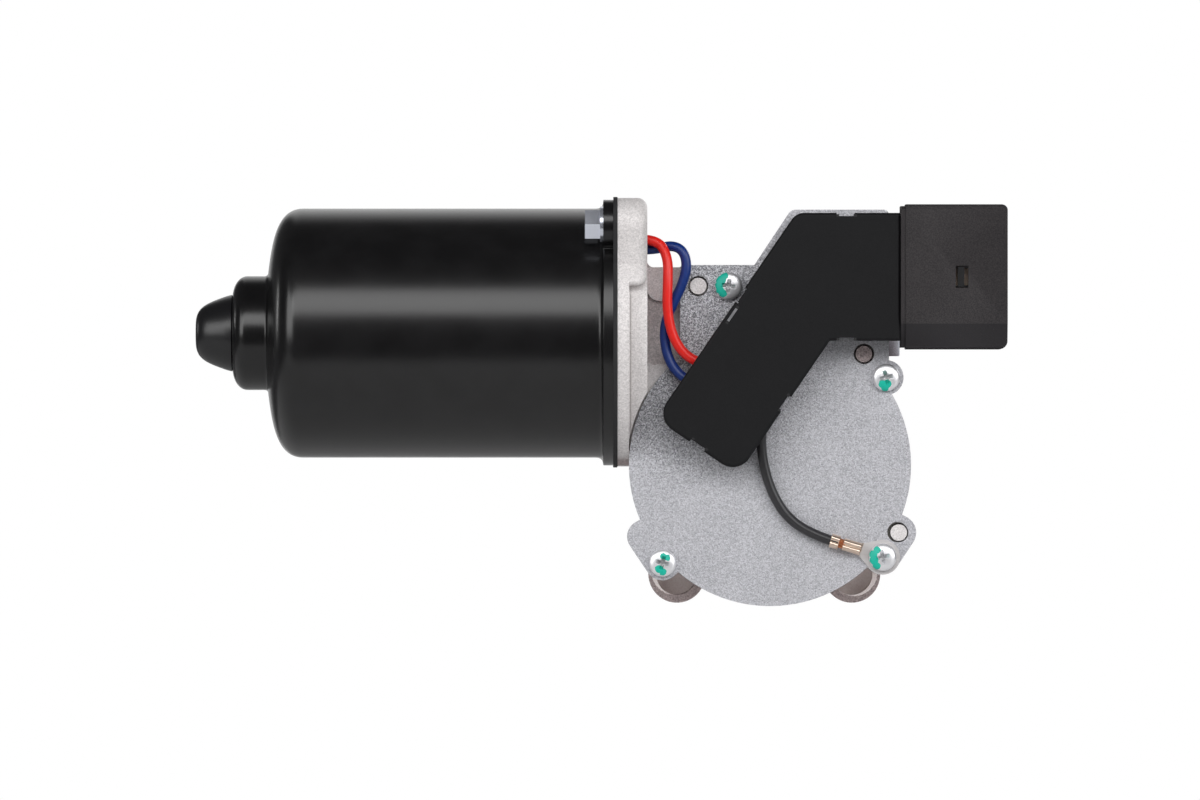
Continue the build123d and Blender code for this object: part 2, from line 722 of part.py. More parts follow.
def bearing_inner_ring():
    """Inner ring of the ball bearing, pressed on the shaft."""
    return turned_on_motor(
        (MOTOR_X + BEARING_CLIP, SHAFT_R + SEAT_GAP),
        (MOTOR_X + BEARING_CLIP, SHAFT_R + BEARING_RING),
        (BEARING_FRONT_X, SHAFT_R + BEARING_RING),
        (BEARING_FRONT_X, SHAFT_R + SEAT_GAP),
    )


def bearing_outer_ring():
    """Outer ring with its two shields; the balls between the rings stay hidden."""
    shield_r = SHAFT_R + BEARING_RING + 2 * RUNNING_GAP
    back_x = MOTOR_X + BEARING_CLIP
    outer_r = BALL_BEARING_R
    race_r = BALL_BEARING_R - BEARING_RING
    return turned_on_motor(
        (back_x, shield_r),
        (back_x, outer_r),
        (BEARING_FRONT_X, outer_r),
        (BEARING_FRONT_X, shield_r),
        (BEARING_FRONT_X - BEARING_SHIELD, shield_r),
        (BEARING_FRONT_X - BEARING_SHIELD, race_r),
        (back_x + BEARING_SHIELD, race_r),
        (back_x + BEARING_SHIELD, shield_r),
    )


def bearing_clip():
    """Sheet ring that keeps the ball bearing in the flange."""
    return turned_on_motor(
        (MOTOR_X, BALL_BEARING_R - BEARING_RING),
        (MOTOR_X, BALL_BEARING_R + BEARING_CLIP_LIP - SEAT_GAP),
        (MOTOR_X + BEARING_CLIP, BALL_BEARING_R + BEARING_CLIP_LIP - SEAT_GAP),
        (MOTOR_X + BEARING_CLIP, BALL_BEARING_R - BEARING_RING),
    )


def can_outside():
    """The can's outer form with its rim, as drawn from one sheet."""
    return turned_on_motor(
        (CAN_FACE_X, 0),
        (CAN_FACE_X, CAN_RIM_R),
        (CAN_FACE_X - CAN_RIM, CAN_RIM_R),
        (CAN_FACE_X - CAN_RIM, CAN_R, CAN_RIM_ROOT),
        (CAN_END_X + CAN_DOME, CAN_R, CAN_CORNER),
        (CAN_END_X, BOSS_R),
        (BOSS_END_X, BOSS_R, BOSS_CORNER),
        (BOSS_END_X, 0),
    )


def can_inside():
    """The hollow inside the can, one wall inside its outer form."""
    end_x = CAN_END_X + CAN_WALL
    slope = CAN_CORNER / 2
    return turned_on_motor(
        (CAN_FACE_X, 0),
        (CAN_FACE_X, CAN_BORE_R),
        (end_x + CAN_DOME + slope, CAN_BORE_R),
        (end_x + CAN_DOME, CAN_BORE_R - slope),
        (end_x, BOSS_R - CAN_WALL),
        (BOSS_END_X + CAN_WALL, BOSS_R - CAN_WALL, BOSS_INNER_CORNER),
        (BOSS_END_X + CAN_WALL, 0),
    )


def motor_flange_face(ring_r, ear_r):
    """Round flange with an ear at each can screw, drawn about the armature axis."""
    face = disc(ring_r)
    for place in can_screw_places():
        foot = [EAR_FOOT_SHARE * value for value in place]
        face += bridge((ear_r, place), (EAR_FOOT_R, foot))
    return face


def motor_can():
    """Drawn can with its rim, screw ears and bearing boss."""
    rim_x = CAN_FACE_X - CAN_RIM
    ears = motor_flange_face(CAN_RIM_R, CAN_SCREW_EAR_R - 0.5)
    can = can_outside() + along(ears, rim_x, CAN_FACE_X)
    can -= can_inside()
    for place in can_screw_places():
        can -= along(disc(CAN_SCREW_R + CAN_SCREW_HOLE_GAP, place), rim_x - 1, CAN_FACE_X + 1)
        spot = disc(CAN_SCREW_WASHER_R + CAN_SCREW_SPOT_GAP, place)
        can -= along(spot, rim_x - CAN_SCREW_HEAD, rim_x)
    hole = along(disc(NOSE_STEM_R + SEAT_GAP), BOSS_END_X - 1, BOSS_END_X + CAN_WALL + 1)
    return can - hole


def nose_cap():
    """Moulded cap that closes the bearing boss."""
    tip_x = BOSS_END_X - NOSE_LENGTH
    stem_x = BOSS_END_X + CAN_WALL + NOSE_STEM
    return turned_on_motor(
        (stem_x, 0),
        (stem_x, NOSE_STEM_R),
        (BOSS_END_X, NOSE_STEM_R),
        (BOSS_END_X, NOSE_R),
        (BOSS_END_X - NOSE_CYLINDER, NOSE_R),
        (tip_x, NOSE_TIP_R, NOSE_TIP_CORNER),
        (tip_x, 0),
    )


def rear_bush():
    """Sintered bush of the rear journal."""
    start = BOSS_END_X + CAN_WALL + REAR_BUSH_FROM_WALL
    end = start + REAR_BUSH_LENGTH
    bore = REAR_JOURNAL_R + RUNNING_GAP
    end_r = REAR_BUSH_R - REAR_BUSH_SLOPE / 2
    return turned_on_motor(
        (start, bore),
        (start, end_r),
        (start + REAR_BUSH_SLOPE, REAR_BUSH_R),
        (end - REAR_BUSH_SLOPE, REAR_BUSH_R),
        (end, end_r),
        (end, bore),
    )


def bush_retainer():
    """Pressed steel cup that holds the rear bush in the boss."""
    start = BOSS_END_X + CAN_WALL + REAR_BUSH_FROM_WALL + RETAINER_WALL
    end = start + REAR_BUSH_LENGTH - RETAINER_WALL - REAR_BUSH_SLOPE
    outer_r = BOSS_R - CAN_WALL - SEAT_GAP
    return turned_on_motor(
        (start, outer_r - RETAINER_SLOPE),
        (start + RETAINER_SLOPE, outer_r),
        (end, outer_r),
        (end, REAR_BUSH_R + SEAT_GAP),
        (start + RETAINER_WALL, REAR_BUSH_R + SEAT_GAP),
        (start + RETAINER_WALL, outer_r - RETAINER_SLOPE),
    )


def magnets():
    """Two curved magnets, a north and a south."""
    outer_r = CAN_BORE_R - SEAT_GAP
    inner_r = outer_r - MAGNET_THICKNESS
    ring = disc(outer_r) - disc(inner_r)
    side_x, side_y = polar(2 * CAN_R, MAGNET_ARC / 2)
    far = 4 * CAN_R
    wedge = outline((0, 0), (side_x, side_y), (far, side_y), (far, -side_y), (side_x, -side_y))
    face = ring & (wedge + Rot(0, 0, 180) * wedge)
    return along(face, CORE_BACK_X - MAGNET_OVERHANG, CORE_FRONT_X + MAGNET_OVERHANG)


def magnet_clips():
    """Two bent spring strips between the magnets, above and below."""
    outer_r = CAN_BORE_R - SEAT_GAP
    half = (180 - MAGNET_ARC) / 2 - MAGNET_CLIP_GAP_ANGLE
    inset = MAGNET_CLIP_INSET - MAGNET_OVERHANG
    strips = Sketch()
    for turn in (90, 270):
        strips += Rot(0, 0, turn) * (
            (disc(outer_r) - disc(outer_r - MAGNET_CLIP))
            & outline((0, 0), polar(3 * CAN_R, half), polar(3 * CAN_R, -half))
        )
    return along(strips, CORE_BACK_X + inset, CORE_FRONT_X - inset)


def brush_plate():
    """Insulating disc in the can's mouth that carries the brush holders."""
    face = disc(CAN_BORE_R - SEAT_GAP) - disc(BRUSH_PLATE_BORE_R)
    return along(face, BRUSH_PLATE_BACK_X, BRUSH_PLATE_BACK_X + BRUSH_PLATE)


def brush_frame(angle):
    """The frame of a brush: X points away from the shaft and Z towards the brush plate."""
    outward = (0, *polar(1, angle))
    return Plane(origin=(BRUSH_X, AXIS_Y, AXIS_Z), x_dir=outward, z_dir=(1, 0, 0))


def brush(angle):
    """Carbon brush with a face hollowed to the commutator's radius."""
    middle = BRUSH_INNER_R - BRUSH_HOLLOW + BRUSH_LENGTH / 2
    block = Pos(middle, 0, 0) * Box(BRUSH_LENGTH, BRUSH_SIZE, BRUSH_SIZE)
    return brush_frame(angle) * (block - Cylinder(BRUSH_INNER_R, 2 * BRUSH_SIZE))


def brush_holders():
    """Three folded sheet holders with a closed end, standing on the brush plate."""
    inner = BRUSH_SIZE + 2 * SLIDE_GAP
    outer = inner + 2 * HOLDER_WALL
    middle = (HOLDER_INNER_R + HOLDER_OUTER_R) / 2
    foot = BRUSH_PLATE_BACK_X - BRUSH_X - outer / 2
    sleeve = Pos(middle, 0, 0) * Box(HOLDER_LENGTH, outer, outer)
    sleeve -= Pos(middle - HOLDER_WALL, 0, 0) * Box(HOLDER_LENGTH, inner, inner)
    sleeve += Pos(middle, 0, outer / 2 + foot / 2) * Box(HOLDER_LENGTH, outer, foot)
    return Compound([brush_frame(angle) * sleeve for angle in BRUSH_ANGLES])


def brush_spring(angle):
    """Folded leaf spring between a brush and its holder's closed end."""
    start = BRUSH_INNER_R - BRUSH_HOLLOW + BRUSH_LENGTH + SEAT_GAP
    end = HOLDER_OUTER_R - HOLDER_WALL - SEAT_GAP
    step = (end - start - SPRING_STRIP) / SPRING_FOLDS
    half = BRUSH_SIZE / 2 - 2 * SPRING_STRIP
    middle = start + SPRING_STRIP / 2
    line = [(middle + count * step, half * (-1) ** count) for count in range(SPRING_FOLDS + 1)]
    strip = trace(Polyline(*line), SPRING_STRIP)
    return brush_frame(angle) * Pos(0, 0, -SPRING_WIDTH / 2) * extrude(strip, SPRING_WIDTH)


def choke_coils():
    """Two suppression chokes lying on the brush plate beside the holders."""
    chokes = []
    for angle in CHOKE_ANGLES:
        choke = disc(CHOKE_R, polar(CHOKE_RING_R, angle))
        chokes.append(along(choke, BRUSH_PLATE_BACK_X - CHOKE_LENGTH, BRUSH_PLATE_BACK_X))
    return Compound(chokes)


def can_gasket():
    """Gasket between the can's rim and the housing flange."""
    face = motor_flange_face(CAN_RIM_R + 0.3, CAN_SCREW_EAR_R + 0.3) - disc(CAN_BORE_R)
    for place in can_screw_places():
        face -= disc(CAN_SCREW_R + CAN_SCREW_HOLE_GAP, place)
    return along(face, CAN_FACE_X, MOTOR_X)


def can_screws():
    """Two hexagon head screws that hold the can to the housing."""
    screws = []
    head_x = CAN_FACE_X - CAN_RIM
    for place in can_screw_places():
        washer = along(disc(CAN_SCREW_WASHER_R, place), head_x - CAN_SCREW_WASHER, head_x)
        hexagon = Pos(*place) * RegularPolygon(CAN_SCREW_HEAD_R, 6)
        hexagon = along(hexagon, head_x - CAN_SCREW_HEAD, head_x - CAN_SCREW_WASHER)
        shank = along(disc(CAN_SCREW_R, place), head_x, MOTOR_X + TOP_BOSS - 1.5)
        screws.append(washer + hexagon + shank)
    return Compound(screws)


def lead_hole_places():
    """Where the two motor leads cross the housing flange, as (y, z) about the armature axis."""
    return [(route[1][1] - AXIS_Y, route[1][2] - AXIS_Z) for route in (RED_ROUTE, BLUE_ROUTE)]


def gear_housing():
    """Die casting: motor flange, neck, gear case, spigot and mounting lugs in one solid."""
    return housing_body() - housing_hollows()


def housing_body():
    """The casting's outer form, before its bores are cut."""
    flange_x = MOTOR_X + FLANGE_THICKNESS
    body = across(offset(case_face(), -PLATE_LIP), RIM_Y, CASE_BACK_Y)
    body += along(motor_flange_face(CAN_RIM_R, CAN_SCREW_EAR_R), MOTOR_X, flange_x)
    body += top_boss()
    y, z = can_screw_places()[1]
    back_ear = bridge((CAN_SCREW_EAR_R, (y, z)), (CAN_SCREW_EAR_R * 1.4, (y * 0.7, z * 0.7)))
    body += along(back_ear, flange_x, MOTOR_X + TOP_BOSS)
    body += neck()
    body += across(disc(HUB_R), CASE_BACK_Y, CASE_BACK_Y + RIB_HEIGHT)
    body += across(disc(SPIGOT_R), CASE_BACK_Y, SPIGOT_LENGTH)
    for place in lug_places():
        body += across(disc(LUG_R, place), -LUG_LENGTH, 0)
        body += back_rib(place)
    for place in stud_places():
        body += across(disc(STUD_R, place), PLATE_FRONT_Y - STUD_PROUD, RIM_Y + 1)
    return body


def top_boss():
    """Thick upper part of the flange, which takes the front can screw and the leads' grommet."""
    below = Pos(0, TOP_BOSS_ABOVE - 2 * CAN_R) * Rectangle(4 * CAN_R, 4 * CAN_R)
    face = motor_flange_face(CAN_RIM_R, CAN_SCREW_EAR_R) - below
    half = math.sqrt(CAN_RIM_R**2 - TOP_BOSS_ABOVE**2)
    for y in (-half, half):
        face = fillet(face.vertices().sort_by_distance((y, TOP_BOSS_ABOVE))[0], TOP_BOSS_CORNER)
    boss = along(face, MOTOR_X, MOTOR_X + TOP_BOSS)
    edges = boss.faces().sort_by(Axis.X)[-1].edges().filter_by(GeomType.LINE, reverse=True)
    return fillet(edges.sort_by(Axis.Z)[2:], TOP_BOSS_EDGE)


def neck():
    """Bearing neck between the flange and the gear case, with the case's rim stepped round it."""
    flange_x = MOTOR_X + FLANGE_THICKNESS
    boss_x = MOTOR_X + TOP_BOSS
    inner_x = BLOCK_LEFT + CASE_WALL
    low_z = AXIS_Z - NECK_HALF_HEIGHT
    high_z = AXIS_Z + NECK_HALF_HEIGHT
    root_z = high_z + 2 * NECK_ROOT
    ledge_z = AXIS_Z + LEDGE_ABOVE
    corner_z = AXIS_Z - RIM_CORNER_BELOW
    core = outline(
        (flange_x, low_z),
        (flange_x, root_z),
        (boss_x, root_z),
        (boss_x, high_z, NECK_ROOT),
        (inner_x, high_z),
        (inner_x, low_z),
    )
    ledge = outline(
        (boss_x, ledge_z, LEDGE_CORNER), (boss_x, high_z), (inner_x, high_z), (inner_x, ledge_z)
    )
    corner = outline((boss_x, 0), (boss_x, corner_z, RIM_CORNER), (BLOCK_LEFT, corner_z), (BLOCK_LEFT, 0))
    band = along(disc(BAND_R), flange_x, boss_x)
    band -= across(disc(PLATE_R + BAND_TO_PLATE), RIM_Y - 2 * CAN_R, RIM_Y)
    body = across(core, RIM_Y + NECK_FRONT_INSET, CASE_BACK_Y)
    return body + across(ledge, RIM_Y, CASE_BACK_Y) + across(corner, RIM_Y, CASE_BACK_Y) + band


def back_rib(place):
    """Rib on the case's back from the spigot to a lug."""
    x, z = place
    reach = math.hypot(x, z)
    angle = math.degrees(math.atan2(z, x))
    face = Rot(0, 0, angle) * Pos(reach / 2, 0) * Rectangle(reach, RIB_THICKNESS)
    return across(face, CASE_BACK_Y, CASE_BACK_Y + RIB_HEIGHT)


def housing_hollows():
    """Every bore and cavity of the casting, as one tool."""
    bearing_r = BALL_BEARING_R + SEAT_GAP
    clip_r = BALL_BEARING_R + BEARING_CLIP_LIP
    clip_x = MOTOR_X + BEARING_CLIP
    shoulder_x = BEARING_FRONT_X + SEAT_GAP
    hollows = turned_on_motor(
        (MOTOR_X - 1, 0),
        (MOTOR_X - 1, clip_r),
        (clip_x, clip_r),
        (clip_x, bearing_r),
        (shoulder_x, bearing_r),
        (shoulder_x, NECK_BORE_R),
        (shoulder_x + BEARING_SHOULDER, NECK_BORE_R),
        (shoulder_x + BEARING_SHOULDER, TUNNEL_R),
        (TIP_BUSH_X, TUNNEL_R),
        (TIP_BUSH_X, TIP_BUSH_R + SEAT_GAP),
        (SHAFT_TIP_X, TIP_BUSH_R + SEAT_GAP),
        (SHAFT_TIP_X, THRUST_SCREW_R + SEAT_GAP),
        (CASE_RIGHT_X + 1, THRUST_SCREW_R + SEAT_GAP),
        (CASE_RIGHT_X + 1, 0),
    )
    hollows += across(disc(CAVITY_R), RIM_Y - 1, FLOOR_Y)
    hollows += turned_on_output(
        (0, FLOOR_Y - 1),
        (OUTPUT_BUSH_R + SEAT_GAP, FLOOR_Y - 1),
        (OUTPUT_BUSH_R + SEAT_GAP, FLOOR_Y + OUTPUT_BUSH_LENGTH),
        (OUTPUT_R + BUSH_RELIEF, FLOOR_Y + OUTPUT_BUSH_LENGTH),
        (OUTPUT_R + BUSH_RELIEF, outer_bush_y()),
        (OUTPUT_BUSH_R + SEAT_GAP, outer_bush_y()),
        (OUTPUT_BUSH_R + SEAT_GAP, SPIGOT_LENGTH + 1),
        (0, SPIGOT_LENGTH + 1),
    )
    for place in cover_screw_places():
        hollows += across(disc(COVER_SCREW_R + SEAT_GAP, place), RIM_Y - 1, RIM_Y + COVER_SCREW_DEPTH)
    for place in lug_places():
        hollows += across(disc(LUG_HOLE_R, place), -LUG_HOLE_DEPTH, 1)
    for place in lug_places()[1:]:
        hollows += across(disc(LUG_CUP_R, place), -LUG_LENGTH - 1, -LUG_LENGTH + LUG_CUP_DEPTH)
    for place in can_screw_places():
        hollows += along(disc(CAN_SCREW_R + SEAT_GAP, place), MOTOR_X - 1, MOTOR_X + TOP_BOSS - 1.0)
    leads = [(GROMMET_R, place) for place in lead_hole_places()]
    return hollows + along(bridge(*leads), MOTOR_X - 1, MOTOR_X + TOP_BOSS + 1)


def outer_bush_y():
    """Where the outer bush of the output shaft starts."""
    return SPIGOT_LENGTH - SHAFT_SEAL - OUTPUT_BUSH_LENGTH


def lead_grommet():
    """Rubber grommet with a hole for each motor lead."""
    face = bridge(*[(GROMMET_R - SEAT_GAP, place) for place in lead_hole_places()])
    for place in lead_hole_places():
        face -= disc(LEAD_R + LEAD_HOLE_GAP, place)
    return along(face, MOTOR_X + TOP_BOSS - GROMMET_LENGTH, MOTOR_X + TOP_BOSS)


def output_bush(start):
    """Sintered bush of the output shaft."""
    bore = OUTPUT_R + RUNNING_GAP
    end = start + OUTPUT_BUSH_LENGTH
    return turned_on_output((bore, start), (OUTPUT_BUSH_R, start), (OUTPUT_BUSH_R, end), (bore, end))


def shaft_seal():
    """Rubber ring at the mouth of the spigot."""
    start = SPIGOT_LENGTH - SHAFT_SEAL
    bore = OUTPUT_R + RUNNING_GAP
    end = SPIGOT_LENGTH - SEAL_INSET
    return turned_on_output((bore, start), (OUTPUT_BUSH_R, start), (OUTPUT_BUSH_R, end), (bore, end))


def output_shaft():
    """Stepped shaft with a groove for its clip, a taper and a threaded end."""
    front_y = PLATE_BACK_Y + OUTPUT_FRONT_GAP
    groove_y = clip_y() - (GROOVE_WIDTH - CLIP) / 2
    taper_y = groove_y + GROOVE_WIDTH + GROOVE_TO_TAPER
    thread_y = taper_y + OUTPUT_TAPER
    end_y = thread_y + OUTPUT_THREAD
    return turned_on_output(
        (0, front_y),
        (OUTPUT_R - OUTPUT_CHAMFER, front_y),
        (OUTPUT_R, front_y + OUTPUT_CHAMFER),
        (OUTPUT_R, groove_y),
        (OUTPUT_R - GROOVE_DEPTH, groove_y),
        (OUTPUT_R - GROOVE_DEPTH, groove_y + GROOVE_WIDTH),
        (OUTPUT_R, groove_y + GROOVE_WIDTH),
        (OUTPUT_R, taper_y),
        (OUTPUT_THREAD_R, thread_y),
        (OUTPUT_THREAD_R, end_y - THREAD_CHAMFER),
        (OUTPUT_THREAD_R - THREAD_CHAMFER, end_y),
        (0, end_y),
    )


def clip_y():
    """Where the retaining clip starts, just past the shim on the spigot's end."""
    return SPIGOT_LENGTH + SHIM + RUNNING_GAP


def output_shim():
    """Thrust shim on the end of the spigot."""
    bore = OUTPUT_R + RUNNING_GAP
    end = SPIGOT_LENGTH + SHIM
    return turned_on_output((bore, SPIGOT_LENGTH), (SHIM_R, SPIGOT_LENGTH), (SHIM_R, end), (bore, end))


def thrust_washer():
    """Washer between the wheel's hub and the case floor."""
    bore = OUTPUT_R + RUNNING_GAP
    start = WHEEL_BACK_Y + RUNNING_GAP
    return turned_on_output((bore, start), (WHEEL_HUB_R, start), (WHEEL_HUB_R, FLOOR_Y), (bore, FLOOR_Y))


def retaining_clip():
    """Open spring clip in the shaft's groove."""
    bore = OUTPUT_R - GROOVE_DEPTH + SEAT_GAP
    ring = disc(CLIP_R) - disc(bore)
    mouth = Pos(0, -CLIP_R) * Rectangle(2 * bore * 0.8, 2 * CLIP_R)
    return across(ring - mouth, clip_y(), clip_y() + CLIP)


def contact_ring():
    """Copper ring on the wheel's face, broken at the park position."""
    ring = disc(CONTACT_OUTER_R) - disc(CONTACT_INNER_R)
    park_r = (CONTACT_OUTER_R + CONTACT_INNER_R) / 2
    notch = outline((park_r, 0), *[polar(2 * CONTACT_OUTER_R, angle) for angle in PARK_ANGLES])
    return across(ring - notch, WHEEL_FRONT_Y - CONTACT_RING, WHEEL_FRONT_Y)


def arm_face(face, distance, side=0):
    """A face turned to lie along the slanted arm, centred so far down and to the right."""
    return Pos(*on_arm(distance, side)) * Rot(0, 0, COVER_ARM_ANGLE) * face


def contact_carrier():
    """Moulded carrier of the park contacts on the plate's inner face."""
    face = arm_face(Rectangle(*CONTACT_CARRIER), CONTACT_DOWN_ARM)
    for place in rivet_places():
        face -= disc(RIVET_R + SEAT_GAP, place)
    return across(face, PLATE_BACK_Y, PLATE_BACK_Y + CONTACT_CARRIER_THICKNESS)


def contact_fingers():
    """Three spring fingers that reach down to the ring on the wheel."""
    seat_y = PLATE_BACK_Y + CONTACT_CARRIER_THICKNESS
    touch_y = WHEEL_FRONT_Y - CONTACT_RING - FINGER_GAP
    tip = FINGER_REACH - FINGER_WIDTH
    thick = FINGER_THICKNESS
    side_face = outline(
        (FINGER_WIDTH, seat_y),
        (FINGER_WIDTH, seat_y + thick),
        (-FINGER_WIDTH, seat_y + thick),
        (FINGER_TOE - tip, touch_y),
        (-tip, touch_y - FINGER_TOE),
        (-tip, touch_y - FINGER_TOE - thick),
        (FINGER_TOE - tip, touch_y - thick),
        (-FINGER_WIDTH, seat_y),
    )
    fingers = []
    for side in rivet_sides():
        x, z = on_arm(CONTACT_DOWN_ARM, side)
        strip = Pos(0, 0, -FINGER_WIDTH / 2) * extrude(side_face, FINGER_WIDTH)
        strip -= Rot(90, 0, 0) * Cylinder(RIVET_R + SEAT_GAP, 3 * abs(seat_y))
        fingers.append(Pos(x, 0, z) * Rot(0, -COVER_ARM_ANGLE, 0) * strip)
    return Compound(fingers)


def contact_rivets():
    """Rivets that join the fingers to the strips on the tray."""
    inner_y = PLATE_BACK_Y + CONTACT_CARRIER_THICKNESS + FINGER_THICKNESS
    outer_y = TRAY_Y - BUS_THICKNESS
    rivets = []
    for place in rivet_places():
        rivet = across(disc(RIVET_R, place), outer_y, inner_y)
        rivet += across(disc(RIVET_HEAD_R, place), inner_y, inner_y + RIVET_HEAD)
        rivet += across(disc(RIVET_TAIL_R, place), outer_y - RIVET_HEAD, outer_y)
        rivets.append(rivet)
    return Compound(rivets)


def plate_gasket():
    """Gasket between the case's rim and the cover plate."""
    outer = offset(case_face(), -PLATE_LIP)
    inner = disc(CAVITY_R)
    face = outer - inner
    for place in cover_screw_places():
        face -= disc(COVER_SCREW_R + STUD_HOLE_GAP, place)
    for place in stud_places():
        face -= disc(STUD_R + STUD_HOLE_GAP, place)
    return across(face, PLATE_BACK_Y, RIM_Y)


def cover_plate():
    """Stamped steel plate that closes the gear case and carries the terminals."""
    face = plate_face()
    for place in cover_screw_places():
        face -= disc(COVER_SCREW_R + STUD_HOLE_GAP, place)
    for place in stud_places():
        face -= disc(STUD_R + STUD_HOLE_GAP, place)
    for place in rivet_places():
        face -= disc(RIVET_HOLE_R, place)
    return across(face, PLATE_FRONT_Y, PLATE_BACK_Y)


def cover_screws():
    """Four pan head screws with a cross recess; one also holds the ring terminal."""
    screws = []
    for number, place in enumerate(cover_screw_places()):
        seat_y = PLATE_FRONT_Y - (RING_TERMINAL if number == 3 else 0)
        top_y = seat_y - COVER_SCREW_HEAD
        head = turned_on_output(
            (0, seat_y),
            (COVER_SCREW_HEAD_R, seat_y),
            (COVER_SCREW_HEAD_R, seat_y - COVER_SCREW_HEAD / 2),
            (COVER_SCREW_HEAD_R - COVER_SCREW_SLOPE, top_y),
            (0, top_y),
        )
        cross = Rectangle(RECESS_LENGTH, RECESS_WIDTH) + Rectangle(RECESS_WIDTH, RECESS_LENGTH)
        head -= across(Rot(0, 0, 45) * cross, top_y - 1, top_y + RECESS_DEPTH)
        shank = across(disc(COVER_SCREW_R), seat_y, RIM_Y + COVER_SCREW_DEPTH - COVER_SCREW_END_GAP)
        screws.append(Pos(place[0], 0, place[1]) * (head + shank))
    return Compound(screws)


def where_level(side, level):
    """Where a line along the slanted arm meets a line so far above the level arm's middle."""
    angle = math.radians(COVER_ARM_ANGLE)
    return on_arm(-(level + side * math.cos(angle)) / math.sin(angle), side)


def cover_face(inset):
    """The dog-leg outline, smaller all round by the inset."""
    half = COVER_ARM_WIDTH / 2 - inset
    level_half = COVER_LEVEL_HEIGHT / 2 - inset
    corner = COVER_CORNER - inset
    down = COVER_ARM_LENGTH - inset
    right_x = COVER_RIGHT_X - inset
    return outline(
        (right_x, COVER_LEVEL_Z + level_half),
        (*where_level(-half, level_half), COVER_TOP_CORNER),
        (*on_arm(down, -half), corner),
        (*on_arm(down, half), corner),
        where_level(half, -level_half),
        (right_x, COVER_LEVEL_Z - level_half),
    )


def notch_places():
    """The snap notches of the terminal cover, as (x, z, angle)."""
    half = COVER_ARM_WIDTH / 2
    level = COVER_LEVEL_HEIGHT / 2
    return [
        (COVER_BEND_X + LEVEL_NOTCH_FROM_BEND, COVER_LEVEL_Z + level, 0),
        (COVER_BEND_X + LEVEL_NOTCH_FROM_BEND, COVER_LEVEL_Z - level, 0),
        (*on_arm(LEFT_NOTCH_DOWN_ARM, -half), COVER_ARM_ANGLE),
        (*on_arm(COVER_ARM_LENGTH - RIGHT_NOTCH_FROM_END, half), COVER_ARM_ANGLE),
        (*on_arm(COVER_ARM_LENGTH, 0), COVER_ARM_ANGLE + 90),
    ]


def terminal_cover():
    """Moulded dog-leg cover, open towards the plate, with snap notches round its edge."""
    cover = across(cover_face(0), COVER_FRONT_Y, PLATE_FRONT_Y)
    front = cover.faces().sort_by(Axis.Y)[0]
    cover = chamfer(front.edges(), COVER_EDGE)
    cover -= across(cover_face(COVER_WALL), COVER_FRONT_Y + COVER_WALL, PLATE_FRONT_Y + 1)
    for x, z, angle in notch_places():
        notch = Pos(x, z) * Rot(0, 0, angle) * Rectangle(COVER_NOTCH, 2 * COVER_NOTCH_DEPTH)
        cover -= across(notch, COVER_FRONT_Y - 1, PLATE_FRONT_Y + 1)
    for ends in (RED_ROUTE[-3:-1], BLUE_ROUTE[-3:-1], GROUND_ROUTE[1:3]):
        low = [min(pair) - LEAD_R - LEAD_MOUTH_GAP for pair in zip(*ends)]
        high = [max(pair) + LEAD_R + LEAD_MOUTH_GAP for pair in zip(*ends)]
        cover -= box_between(low, (high[0], PLATE_FRONT_Y + 1, high[2]))
    tongue = box_between(
        (TONGUE_X, tongue_front_y() - SLIDE_GAP, COVER_LEVEL_Z - TONGUE_HEIGHT / 2 - SLIDE_GAP),
        (COVER_RIGHT_X + 1, PLATE_FRONT_Y + 1, COVER_LEVEL_Z + TONGUE_HEIGHT / 2 + SLIDE_GAP),
    )
    return cover - tongue


def terminal_tray():
    """Insulating tray under the cover, which carries the strips."""
    face = cover_face(COVER_WALL + TRAY_GAP) - box_face_right(TONGUE_X - SLIDE_GAP)
    for place in rivet_places():
        face -= disc(RIVET_R + SEAT_GAP, place)
    return across(face, TRAY_Y, PLATE_FRONT_Y)


def box_face_right(x):
    """A large face that covers everything to the right of x."""
    reach = 2 * CASE_R
    return Pos(x + reach / 2, 0) * Rectangle(reach, 4 * reach)


def bus_strips():
    """Three brass strips from the park contacts up the arm to the connector."""
    strips = []
    for side, place in zip(rivet_sides(), rivet_places()):
        bend = where_level(side, -side)
        end = (TONGUE_X - TRAY_GAP, COVER_LEVEL_Z - side)
        strip = trace(Polyline(place, bend, end), BUS_WIDTH) + disc(BUS_WIDTH / 2, place)
        strip -= disc(RIVET_R + SEAT_GAP, place)
        strips.append(across(strip, TRAY_Y - BUS_THICKNESS, TRAY_Y))
    return Compound(strips)


def tongue_front_y():
    """The front face of the connector's tongue, which lies on the plate."""
    return PLATE_FRONT_Y - TONGUE_DEPTH


def hood_face(inset):
    """The hood's section in (y, z), smaller all round by the inset, with its bevelled edge."""
    low_z = COVER_LEVEL_Z - HOOD_HEIGHT / 2 + inset
    high_z = COVER_LEVEL_Z + HOOD_HEIGHT / 2 - inset
    front, back = HOOD_FRONT_Y + inset, HOOD_BACK_Y - inset
    corner = HOOD_CORNER - inset / 2
    return Pos(-AXIS_Y, -AXIS_Z) * outline(
        (front, low_z + HOOD_BEVEL_HEIGHT),
        (front, high_z, corner),
        (back, high_z, corner),
        (back, low_z, corner),
        (front + HOOD_BEVEL_DEPTH, low_z, corner),
    )


def blade_places():
    """The z of each blade."""
    return [COVER_LEVEL_Z + (count - (BLADES - 1) / 2) * BLADE_PITCH for count in range(BLADES)]


